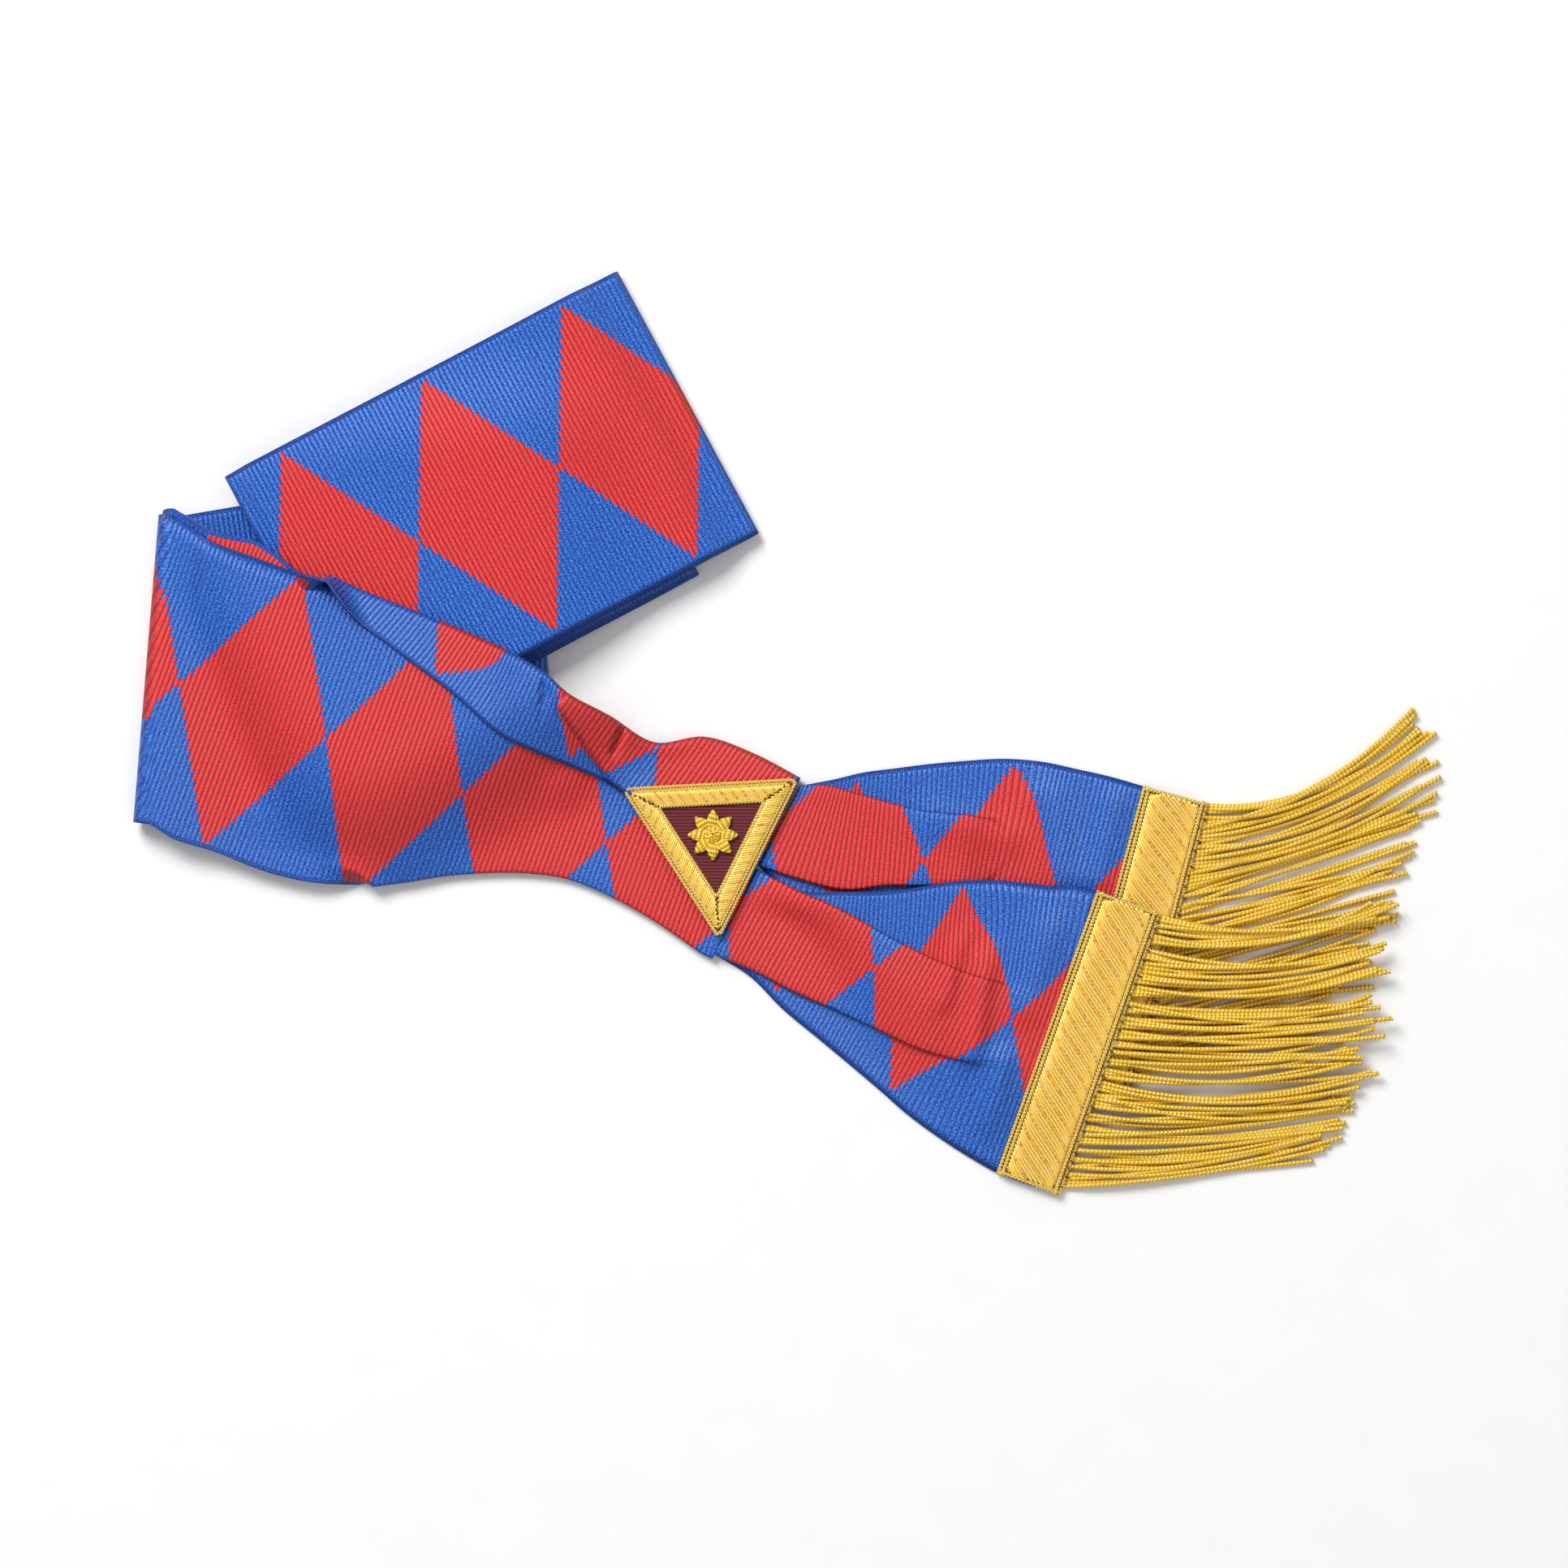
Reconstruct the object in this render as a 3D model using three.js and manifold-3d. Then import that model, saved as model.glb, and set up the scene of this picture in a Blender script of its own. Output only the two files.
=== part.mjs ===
import * as THREE from 'three';
import Module from 'manifold-3d';

// A folded regalia sash lying on a table, in millimetres, with +Z up.
// Plan positions and lengths in the tables are shares of the ribbon width.
// Heights in the tables are counted in layers of cloth.

// Driving sizes
const ribbonWidth = 101.6;
const ribbonWall = 1.0;
const layerGap = 0.3;
const stepRun = 38;
const armRun = 46;
const armPlateau = 11;
const bandWidth = 20.5;
const bandHeight = 2.4;
const bandCordWidth = 1.4;
const badgeBorderWidth = 6.2;
const badgeBorderHeight = 2.6;
const badgeFieldHeight = 1.4;
const badgeCordWidth = 1.4;
const rosetteRadius = 8.6;
const rosetteHeight = 2.4;
const rosettePetals = 8;
const fringeHeight = 3.2;
const fringeHeadWidth = 5;

const layer = ribbonWall + layerGap;
const halfWall = ribbonWall / 2;

// Tables

function table(columns, lines) {
  return lines.map((line) => Object.fromEntries(columns.map((name, i) => [name, line[i]])));
}

// Smooth value of every column at row position t, passing through each row.
function rowAt(rows, t) {
  const last = rows.length - 1;
  const i = Math.min(Math.floor(t), last - 1);
  const f = t - i;
  const at = (k) => rows[Math.max(0, Math.min(last, k))];
  const out = {};
  for (const key of Object.keys(rows[0])) {
    const a = at(i - 1)[key];
    const b = at(i)[key];
    const c = at(i + 1)[key];
    const d = at(i + 2)[key];
    const curve = 2 * b + (c - a) * f + (2 * a - 5 * b + 4 * c - d) * f * f + (3 * b - a - 3 * c + d) * f * f * f;
    out[key] = curve / 2;
  }
  return out;
}

// Centre line of the doubled loop: the left fold, then each fold of the stack, then the far end.
// slack is how far the outer strip stands past the inner one at that fold. fall is how many
// layers the cloth droops on the way to the fold, and fallRun the length of that way.
const foldRows = table(['x', 'y', 'slack', 'fall', 'fallRun'], [
  [-2.081, 0.201, 0, 0, 0],
  [-0.833, 0.415, 0, 0, 0],
  [-1.536, 0.415, 0.006, 0, 0],
  [-0.551, 0.947, 0.012, 0, 0],
  [-1.528, 0.445, 0.006, 0, 0],
  [-0.366, 1.077, 0.024, 3.4, 0.155],
  [-1.623, 0.404, 0, 2, 0.08],
]);

// The two arms from the left fold to the join: the outer arm's upper and lower edge,
// its underfold, the inner arm's turned flap, the layers between them and the lift off the table.
const armRows = table(['topX', 'topY', 'lowX', 'lowY', 'under', 'underTurn', 'flap', 'flapTurn', 'level', 'lift'], [
  [-2.046, 0.706, -2.119, -0.304, 0.06, 0, 0.06, 0, 1, 6.5],
  [-1.913, 0.624, -2.043, -0.364, 0.06, 0, 0.06, 0, 1, 6],
  [-1.756, 0.564, -1.897, -0.410, 0.06, 0, 0.06, 0, 1, 4.6],
  [-1.615, 0.513, -1.739, -0.472, 0.06, 0, 0.06, 20, 1.3, 3],
  [-1.501, 0.472, -1.579, -0.510, 0.06, 0, 0.075, 120, 1.7, 2.4],
  [-1.381, 0.423, -1.427, -0.513, 0.06, 60, 0.1, 178, 2, 3],
  [-1.229, 0.364, -1.281, -0.502, 0.1, 178, 0.15, 180, 2, 0.6],
  [-1.083, 0.304, -1.132, -0.478, 0.19, 180, 0.2, 180, 2, 0.3],
  [-0.936, 0.239, -0.980, -0.467, 0.27, 180, 0.26, 180, 2, 0.2],
  [-0.811, 0.168, -0.855, -0.469, 0.35, 180, 0.25, 180, 2, 0.1],
  [-0.716, 0.087, -0.725, -0.488, 0.41, 180, 0.21, 180, 2, 0],
  [-0.583, 0.019, -0.583, -0.545, 0.43, 180, 0.2, 180, 2, 0],
  [-0.437, -0.065, -0.453, -0.616, 0.43, 180, 0.2, 180, 2, 0],
  [-0.269, -0.046, -0.350, -0.684, 0.36, 180, 0.25, 180, 2, 0],
  [-0.111, -0.100, -0.290, -0.727, 0.34, 180, 0.3, 180, 2, 0],
  [0.038, -0.179, -0.242, -0.754, 0.333, 180, 0.333, 180, 2, 0],
]);

// Each tail from the join to its band: the front pleat's upper and lower edge, the cloth that
// shows above and below it, and the height of the upper side and where it comes down again.
const tailColumns = ['topX', 'topY', 'lowX', 'lowY', 'above', 'below', 'high', 'dropFrom', 'dropTo'];
const upperTailRows = table(tailColumns, [
  [0.052, -0.185, -0.087, -0.453, 0, 0, 0, 0.5, 1],
  [0.147, -0.187, 0.041, -0.497, 0.022, 0.011, 0, 0.5, 1],
  [0.247, -0.214, 0.198, -0.535, 0.073, 0.060, 0, 0.5, 1],
  [0.355, -0.244, 0.334, -0.494, 0.117, 0.204, 0, 0.5, 1],
  [0.464, -0.269, 0.445, -0.450, 0.157, 0.299, 0, 0.5, 1],
  [0.573, -0.280, 0.548, -0.440, 0.179, 0.421, 0, 0.5, 1],
  [0.692, -0.285, 0.659, -0.440, 0.193, 0.556, 0, 0.5, 1],
  [0.806, -0.304, 0.763, -0.461, 0.206, 0.619, 0, 0.5, 1],
  [0.920, -0.331, 0.877, -0.491, 0.209, 0.624, 0, 0.5, 1],
  [1.018, -0.353, 0.974, -0.513, 0.209, 0.624, 0, 0.5, 1],
  [1.153, -0.391, 1.110, -0.551, 0.209, 0.624, 0, 0.5, 1],
  [1.275, -0.423, 1.232, -0.583, 0.209, 0.624, 0, 0.5, 1],
]);
const lowerTailRows = table(tailColumns, [
  [-0.095, -0.464, -0.236, -0.749, 0, 0, 0, 0.1, 0.5],
  [0.043, -0.537, -0.106, -0.803, 0, 0.022, 2.4, 0.1, 0.34],
  [0.171, -0.594, 0.024, -0.871, 0.060, 0.068, 3.3, 0.15, 0.5],
  [0.307, -0.668, 0.166, -0.934, 0.149, 0.111, 3.3, 0.35, 0.75],
  [0.437, -0.738, 0.293, -0.993, 0.266, 0.147, 3.3, 0.5, 0.9],
  [0.543, -0.787, 0.404, -1.047, 0.323, 0.179, 3.3, 0.55, 0.95],
  [0.643, -0.822, 0.502, -1.091, 0.350, 0.212, 3.3, 0.6, 0.98],
  [0.746, -0.847, 0.627, -1.121, 0.355, 0.266, 3.3, 0.62, 1],
  [0.847, -0.868, 0.744, -1.145, 0.369, 0.312, 3.3, 0.64, 1],
  [0.939, -0.893, 0.841, -1.167, 0.369, 0.339, 3.3, 0.6, 1],
  [1.045, -0.931, 0.947, -1.205, 0.369, 0.339, 3.3, 0.6, 1],
]);

// Fringe locks, top to bottom: the place along the head, the bend and the tip in plan,
// the height of the tip and how wide the lock is.
const lockColumns = ['share', 'bendX', 'bendY', 'tipX', 'tipY', 'tipHigh', 'wide'];
const upperLocks = table(lockColumns, [
  [0.045, 1.734, -0.299, 2.130, 0.038, 0, 0.072],
  [0.16, 1.734, -0.366, 2.163, -0.095, 0, 0.08],
  [0.275, 1.712, -0.440, 2.149, -0.231, 0, 0.08],
  [0.39, 1.685, -0.521, 2.090, -0.361, 0, 0.08],
  [0.505, 1.650, -0.611, 2.049, -0.494, 0, 0.08],
  [0.62, 1.609, -0.711, 1.989, -0.630, 0, 0.08],
  [0.735, 1.555, -0.820, 1.935, -0.760, 0, 0.08],
  [0.85, 1.487, -0.934, 1.881, -0.885, 0, 0.08],
  [0.955, 1.419, -1.053, 1.826, -0.999, 0, 0.072],
]);
const lowerLocks = table(lockColumns, [
  [0.045, 1.609, -0.738, 2.022, -0.592, 3.2, 0.072],
  [0.16, 1.582, -0.830, 2.005, -0.716, 3.2, 0.08],
  [0.275, 1.555, -0.934, 1.978, -0.830, 3.2, 0.08],
  [0.39, 1.512, -1.042, 1.962, -0.950, 3.2, 0.08],
  [0.505, 1.468, -1.145, 1.929, -1.058, 3.0, 0.08],
  [0.62, 1.425, -1.248, 1.908, -1.156, 1.6, 0.08],
  [0.735, 1.365, -1.346, 1.870, -1.248, 0.2, 0.08],
  [0.85, 1.322, -1.444, 1.826, -1.324, 0, 0.08],
  [0.955, 1.284, -1.531, 1.772, -1.384, 0, 0.072],
]);

// Outer corners of the three-sided badge.
const badgeRows = table(['x', 'y'], [
  [-0.551, -0.193],
  [0.052, -0.160],
  [-0.220, -0.708],
]);

// Plain helpers

const mm = (share) => share * ribbonWidth;
const planPoint = (x, y) => new THREE.Vector2(mm(x), mm(y));
const rad = (degrees) => degrees * Math.PI / 180;
const lerp = (a, b, t) => a + (b - a) * t;

function ease(t) {
  const c = Math.max(0, Math.min(1, t));
  return c * c * (3 - 2 * c);
}

// Distance from a plan point to a convex region, zero inside; corners run counterclockwise.
function outside(corners, p) {
  let inside = true;
  let best = Infinity;
  corners.forEach((a, i) => {
    const b = corners[(i + 1) % corners.length];
    const edge = b.clone().sub(a);
    const to = p.clone().sub(a);
    if (edge.x * to.y - edge.y * to.x < 0) inside = false;
    const t = Math.max(0, Math.min(1, to.dot(edge) / edge.lengthSq()));
    best = Math.min(best, to.sub(edge.multiplyScalar(t)).length());
  });
  return inside ? 0 : best;
}

// A section is a chain of [length, turn]; the walk gives the place and heading at arc length w.
function walk(chain, w) {
  let u = 0;
  let z = 0;
  let heading = 0;
  let left = w;
  for (const [length, turn] of chain) {
    const d = Math.min(left, length);
    const bend = length > 0 ? turn * d / length : 0;
    if (Math.abs(bend) < 1e-6) {
      u += d * Math.cos(heading);
      z += d * Math.sin(heading);
    } else {
      const radius = d / bend;
      u += radius * (Math.sin(heading + bend) - Math.sin(heading));
      z += radius * (Math.cos(heading) - Math.cos(heading + bend));
    }
    heading += bend;
    left -= d;
    if (left <= 1e-9) break;
  }
  return { u, z };
}

function stationsAlong(chain, counts) {
  const out = [0];
  let start = 0;
  chain.forEach(([length], i) => {
    for (let k = 1; k <= counts[i]; k += 1) out.push(start + length * k / counts[i]);
    start += length;
  });
  return out;
}

// Cloth of even wall from a grid of middle points

function clothGeometry(grid, wall) {
  const rows = grid.length;
  const cols = grid[0].length;
  const cellNormal = (i, j) => {
    const a = grid[i + 1][j + 1].clone().sub(grid[i][j]);
    const b = grid[i][j + 1].clone().sub(grid[i + 1][j]);
    return a.cross(b).normalize();
  };
  const cells = [];
  for (let i = 0; i < rows - 1; i += 1) {
    cells.push([]);
    for (let j = 0; j < cols - 1; j += 1) cells[i].push(cellNormal(i, j));
  }
  const positions = [];
  const offset = (i, j, side) => {
    const sum = new THREE.Vector3();
    let count = 0;
    for (const [di, dj] of [[-1, -1], [-1, 0], [0, -1], [0, 0]]) {
      const cell = cells[i + di] && cells[i + di][j + dj];
      if (cell) {
        sum.add(cell);
        count += 1;
      }
    }
    sum.divideScalar(count);
    const reach = Math.max(sum.length(), 0.75);
    sum.normalize().multiplyScalar(side * wall / 2 / reach);
    const p = grid[i][j].clone().add(sum);
    positions.push(p.x, p.y, p.z);
  };
  for (const side of [1, -1]) {
    for (let i = 0; i < rows; i += 1) for (let j = 0; j < cols; j += 1) offset(i, j, side);
  }
  const at = (i, j, low) => low * rows * cols + i * cols + j;
  const index = [];
  const quad = (a, b, c, d) => index.push(a, b, c, a, c, d);
  for (let i = 0; i < rows - 1; i += 1) {
    for (let j = 0; j < cols - 1; j += 1) {
      quad(at(i, j, 0), at(i + 1, j, 0), at(i + 1, j + 1, 0), at(i, j + 1, 0));
      quad(at(i, j, 1), at(i, j + 1, 1), at(i + 1, j + 1, 1), at(i + 1, j, 1));
    }
  }
  for (let i = 0; i < rows - 1; i += 1) {
    quad(at(i, 0, 0), at(i, 0, 1), at(i + 1, 0, 1), at(i + 1, 0, 0));
    quad(at(i, cols - 1, 0), at(i + 1, cols - 1, 0), at(i + 1, cols - 1, 1), at(i, cols - 1, 1));
  }
  for (let j = 0; j < cols - 1; j += 1) {
    quad(at(0, j, 0), at(0, j + 1, 0), at(0, j + 1, 1), at(0, j, 1));
    quad(at(rows - 1, j, 0), at(rows - 1, j, 1), at(rows - 1, j + 1, 1), at(rows - 1, j + 1, 0));
  }
  return facingOut(positions, index);
}

function facingOut(positions, index) {
  let volume = 0;
  const p = (k) => new THREE.Vector3().fromArray(positions, index[k] * 3);
  for (let k = 0; k < index.length; k += 3) volume += p(k).dot(p(k + 1).cross(p(k + 2)));
  if (volume < 0) {
    for (let k = 0; k < index.length; k += 3) [index[k + 1], index[k + 2]] = [index[k + 2], index[k + 1]];
  }
  const geometry = new THREE.BufferGeometry();
  geometry.setAttribute('position', new THREE.Float32BufferAttribute(positions, 3));
  geometry.setIndex(index);
  return geometry;
}

// A body through rings of points; open bodies get flat ends, round ones close on themselves.
function ringBody(rings, round) {
  const size = rings[0].length;
  const count = rings.length;
  const positions = rings.flatMap((ring) => ring.flatMap((v) => [v.x, v.y, v.z]));
  const index = [];
  const at = (i, j) => (i % count) * size + (j % size);
  for (let i = 0; i < (round ? count : count - 1); i += 1) {
    for (let j = 0; j < size; j += 1) {
      index.push(at(i, j), at(i + 1, j), at(i + 1, j + 1), at(i, j), at(i + 1, j + 1), at(i, j + 1));
    }
  }
  if (!round) {
    for (let j = 1; j < size - 1; j += 1) {
      index.push(at(0, 0), at(0, j), at(0, j + 1));
      index.push(at(count - 1, 0), at(count - 1, j + 1), at(count - 1, j));
    }
  }
  return facingOut(positions, index);
}

// The folded stack of the doubled loop

const folds = foldRows.map((row) => ({
  at: planPoint(row.x, row.y),
  slack: mm(row.slack),
  fall: row.fall * layer,
  fallRun: mm(row.fallRun),
}));
const firstHeading = planPoint(armRows[15].topX + armRows[15].lowX, armRows[15].topY + armRows[15].lowY)
  .multiplyScalar(0.5).sub(folds[0].at).normalize();
folds.forEach((fold, k) => {
  const towards = (m) => folds[m].at.clone().sub(fold.at).normalize();
  const back = k === 0 ? firstHeading : towards(k - 1);
  const ahead = k === folds.length - 1 ? back : towards(k + 1);
  fold.out = back.clone().add(ahead).multiplyScalar(-1).normalize();
  fold.line = new THREE.Vector2(-fold.out.y, fold.out.x);
  if (fold.line.y < 0) fold.line.multiplyScalar(-1);
  const across = new THREE.Vector2(-ahead.y, ahead.x);
  fold.stretch = 1 / Math.abs(across.dot(fold.line));
});

// Plan point on fold k at distance w below the upper selvedge.
function onFold(k, w) {
  const reach = (ribbonWidth / 2 - w) * folds[k].stretch;
  return folds[k].at.clone().addScaledVector(folds[k].line, reach);
}

const lowestPass = [onFold(0, ribbonWidth), onFold(1, ribbonWidth), onFold(1, 0), onFold(0, 0)];
const topPass = [onFold(6, ribbonWidth), onFold(5, ribbonWidth), onFold(5, 0), onFold(6, 0)];
const stackMargin = 2 * layer + 1.5;

// How far the cloth droops near fold k.
function foldFall(k, p) {
  const { at, out, fall, fallRun } = folds[k];
  return fall > 0 ? fall * (1 - ease(at.clone().sub(p).dot(out) / fallRun)) : 0;
}

// The upper passes come down to the table past the two lowest ones.
function passHeight(k, level, p) {
  const z = level * layer + halfWall - foldFall(k, p) - foldFall(k + 1, p);
  if (k < 2) return z;
  return z - 4 * layer * ease((outside(lowestPass, p) - stackMargin) / stepRun);
}

// Shares of the way from fold k to the next where a pass has its rows.
function passStations(k) {
  if (k < 2) return [1];
  const length = folds[k + 1].at.distanceTo(folds[k].at);
  const shares = [0.25, 0.5, 0.75, 1];
  const from = folds[k].fallRun / length;
  const to = folds[k + 1].fallRun / length;
  if (from > 0) shares.push(from / 2, from);
  if (to > 0) shares.push(1 - to / 2, 1 - to);
  return shares.sort((a, b) => a - b);
}

const armSegments = { wide: 6, turn: 3, lip: 2 };
const columns = armSegments.wide + armSegments.turn + armSegments.lip;
const turnSteps = 3;
const evenShare = (j) => ribbonWidth * j / columns;

function passLevel(k, outer) {
  const even = k % 2 === 0;
  return 2 * k + (even === outer ? 0 : 1);
}

// Rows of one strip from the left fold through the stack to the loop's far end.
function stackRows(outer) {
  const rows = [];
  const row = (place) => {
    const line = [];
    for (let j = 0; j <= columns; j += 1) line.push(place(evenShare(j)));
    rows.push(line);
  };
  for (let k = 0; k < folds.length - 1; k += 1) {
    const level = passLevel(k, outer);
    const shares = passStations(k);
    if (k === 0) shares.unshift(0);
    for (const share of shares) {
      row((w) => {
        const p = onFold(k, w).lerp(onFold(k + 1, w), share);
        return new THREE.Vector3(p.x, p.y, passHeight(k, level, p));
      });
    }
    if (k === folds.length - 2) break;
    const next = passLevel(k + 1, outer);
    const radius = (next - level) / 2 * layer;
    const slack = radius > layer ? folds[k + 1].slack : 0;
    for (let i = 1; i <= turnSteps; i += 1) {
      const turn = Math.PI * i / turnSteps;
      row((w) => {
        const flat = onFold(k + 1, w);
        const reach = radius * Math.sin(turn) + slack * Math.sin(turn);
        const p = flat.clone().addScaledVector(folds[k + 1].out, reach);
        const low = passHeight(k, level, flat);
        const high = passHeight(k + 1, next, flat);
        return new THREE.Vector3(p.x, p.y, lerp(low, high, (1 - Math.cos(turn)) / 2));
      });
    }
  }
  return rows;
}

// The arms over the stack

function armSupport(p) {
  const overStack = 12 * layer * (1 - ease((outside(topPass, p) - armPlateau) / armRun));
  const overLowest = 4 * layer * (1 - ease((outside(lowestPass, p) - armPlateau / 2) / (armRun * 0.4)));
  return Math.max(overStack, overLowest) + layer;
}

function armSection(t, inner) {
  const row = rowAt(armRows, t);
  const top = t === 0 ? onFold(0, 0) : planPoint(row.topX, row.topY);
  const low = t === 0 ? onFold(0, ribbonWidth) : planPoint(row.lowX, row.lowY);
  const across = low.clone().sub(top);
  const span = across.length();
  across.normalize();
  const turn = rad(inner ? row.flapTurn : row.underTurn);
  const radius = inner ? (row.level + 1) / 2 * layer : layer / 2;
  const bend = Math.PI * radius;
  const lip = mm(inner ? row.flap : row.under);
  const wide = ribbonWidth - bend - lip;
  const chain = [[wide, 0], [bend, inner ? turn : -turn], [lip, 0]];
  const end = walk(chain, ribbonWidth);
  const pastWide = Math.max(0, end.u - wide);
  const peek = inner ? layer * 2 * (1 - turn / Math.PI) : 0;
  const inset = inner ? layer * 2 : 0;
  const from = inner ? pastWide - peek : 0;
  const to = inner ? span - inset : span - pastWide;
  const squeeze = (to - from) / wide;
  const distances = stationsAlong(chain, [armSegments.wide, armSegments.turn, armSegments.lip]);
  const base = inner ? 0 : row.level * layer;
  const points = distances.map((w) => {
    const local = walk(chain, w);
    const scaled = Math.min(local.u, wide) * squeeze + Math.max(0, local.u - wide);
    const pulled = w > wide ? wide * squeeze + (local.u - wide) : scaled;
    const u = inner ? to - pulled : pulled;
    const p = top.clone().addScaledVector(across, u);
    const ground = t === 0 ? row.lift * layer : Math.max(armSupport(p) - layer, row.lift * layer);
    return new THREE.Vector3(p.x, p.y, base + local.z + halfWall + ground);
  });
  return inner ? points.reverse() : points;
}

function leftTurn(armRow, stackRow) {
  const rows = [];
  const steps = 5;
  for (let i = 1; i < steps; i += 1) {
    const turn = Math.PI * i / steps;
    rows.push(armRow.map((high, j) => {
      const low = stackRow[j];
      const blend = (1 + Math.cos(turn)) / 2;
      const radius = (high.z - low.z) / 2;
      const x = lerp(low.x, high.x, blend) + folds[0].out.x * radius * Math.sin(turn);
      const y = lerp(low.y, high.y, blend) + folds[0].out.y * radius * Math.sin(turn);
      return new THREE.Vector3(x, y, lerp(low.z, high.z, blend));
    }));
  }
  return rows;
}

function armGrid(inner) {
  const rows = [];
  for (let i = armRows.length - 1; i >= 0; i -= 1) rows.push(armSection(i, inner));
  return rows;
}

function loopGrid() {
  const half = (outer) => {
    const stack = stackRows(outer);
    const arm = armGrid(!outer);
    const arrive = arm[arm.length - 1];
    return [...arm, ...leftTurn(arrive, stack[0]), ...stack];
  };
  const outer = half(true);
  const inner = half(false).reverse();
  const farOuter = outer[outer.length - 1];
  const farInner = inner[0];
  const end = folds[folds.length - 1];
  const turnRows = [];
  for (let i = 1; i < turnSteps; i += 1) {
    const turn = Math.PI * i / turnSteps;
    turnRows.push(farOuter.map((high, j) => {
      const low = farInner[j];
      const radius = (high.z - low.z) / 2;
      const p = new THREE.Vector3(high.x, high.y, lerp(high.z, low.z, (1 - Math.cos(turn)) / 2));
      p.x += end.out.x * radius * Math.sin(turn);
      p.y += end.out.y * radius * Math.sin(turn);
      return p;
    }));
  }
  return [...outer, ...turnRows, ...inner];
}

// The pleated tails

function tailFrame(rows, t) {
  const row = rowAt(rows, t);
  const top = planPoint(row.topX, row.topY);
  const low = planPoint(row.lowX, row.lowY);
  const across = low.clone().sub(top);
  const front = across.length();
  across.normalize();
  const above = mm(row.above);
  const below = mm(row.below);
  const tuck = Math.max(0.02, (ribbonWidth - front - above - below) / 4);
  const start = top.clone().addScaledVector(across, -above);
  return { row, start, across, front, above, below, tuck, span: front + above + below };
}

function tailChain(frame) {
  const radius = layer / 2;
  const fullBend = Math.PI * radius;
  const turn = Math.PI * Math.min(1, frame.tuck / (fullBend * 1.1));
  const bend = Math.min(fullBend, frame.tuck * 0.9) * turn / Math.PI + 0.001;
  const bendLength = Math.max(bend, 0.35);
  const spare = Math.max(frame.tuck - bendLength, 0.3);
  return [
    [frame.above + frame.tuck - bendLength / 2, 0],
    [bendLength, turn],
    [spare, 0],
    [bendLength, -turn],
    [frame.front - bendLength, 0],
    [bendLength, -turn],
    [spare, 0],
    [bendLength, turn],
    [frame.below + frame.tuck - bendLength / 2, 0],
  ];
}

const tailCounts = [3, 3, 1, 3, 3, 3, 1, 3, 3];

function tailGround(frame, u) {
  const { high, dropFrom, dropTo } = frame.row;
  return high * layer * (1 - ease((u / frame.span - dropFrom) / (dropTo - dropFrom)));
}

function tailRow(rows, t) {
  const frame = tailFrame(rows, t);
  const chain = tailChain(frame);
  const distances = stationsAlong(chain, tailCounts);
  const stretch = frame.span / walk(chain, distances[distances.length - 1]).u;
  return distances.map((w) => {
    const local = walk(chain, w);
    const u = local.u * stretch;
    const p = frame.start.clone().addScaledVector(frame.across, u);
    return new THREE.Vector3(p.x, p.y, local.z + halfWall + tailGround(frame, u));
  });
}

function tailGrid(rows) {
  return rows.map((row, i) => tailRow(rows, i));
}

// Bands, cords and fringes at the tail ends

// The line of a tail's last row, the base height along it and the way out to the fringe.
function tailEnd(rows) {
  const frame = tailFrame(rows, rows.length - 1);
  const out = new THREE.Vector2(-frame.across.y, frame.across.x);
  const inset = (ribbonWidth - 98 / 101.6 * ribbonWidth) / 2;
  const length = frame.span - 2 * inset;
  return {
    out,
    length,
    place: (share, reach) => frame.start.clone()
      .addScaledVector(frame.across, inset + length * share).addScaledVector(out, reach),
    shareOf: (p) => (p.clone().sub(frame.start).dot(frame.across) - inset) / length,
    ground: (share) => tailGround(frame, inset + length * share),
  };
}

const bandInner = -bandWidth * 0.62;
const bandSteps = 14;

function bandBody(rows) {
  const end = tailEnd(rows);
  const profile = [[0, 0], [0, 0.55], [0.06, 0.86], [0.2, 1], [0.5, 1], [0.8, 1], [0.94, 0.86], [1, 0.55], [1, 0]];
  const rings = [];
  for (let i = 0; i <= bandSteps; i += 1) {
    const share = i / bandSteps;
    const squash = i === 0 || i === bandSteps ? 0.8 : 1;
    rings.push(profile.map(([across, up]) => {
      const p = end.place(share, bandInner + bandWidth * across);
      const z = end.ground(share) + layer + up * bandHeight * squash;
      return new THREE.Vector3(p.x, p.y, z);
    }));
  }
  return ringBody(rings, false);
}

function bandCord(rows) {
  const end = tailEnd(rows);
  const half = bandCordWidth / 2;
  const clear = half + layerGap;
  const lowShare = -clear / end.length;
  const highShare = 1 + clear / end.length;
  const near = bandInner - clear;
  const far = bandInner + bandWidth + clear;
  const path = [];
  for (let i = 0; i <= bandSteps; i += 1) path.push([lerp(lowShare, highShare, i / bandSteps), far]);
  for (let i = 0; i <= bandSteps; i += 1) path.push([lerp(highShare, lowShare, i / bandSteps), near]);
  const centres = path.map(([share, reach]) => {
    const p = end.place(share, reach);
    return new THREE.Vector3(p.x, p.y, end.ground(Math.max(0, Math.min(1, share))) + layer + half);
  });
  return ringBody(cordRings(centres, half, 5), true);
}

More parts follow.
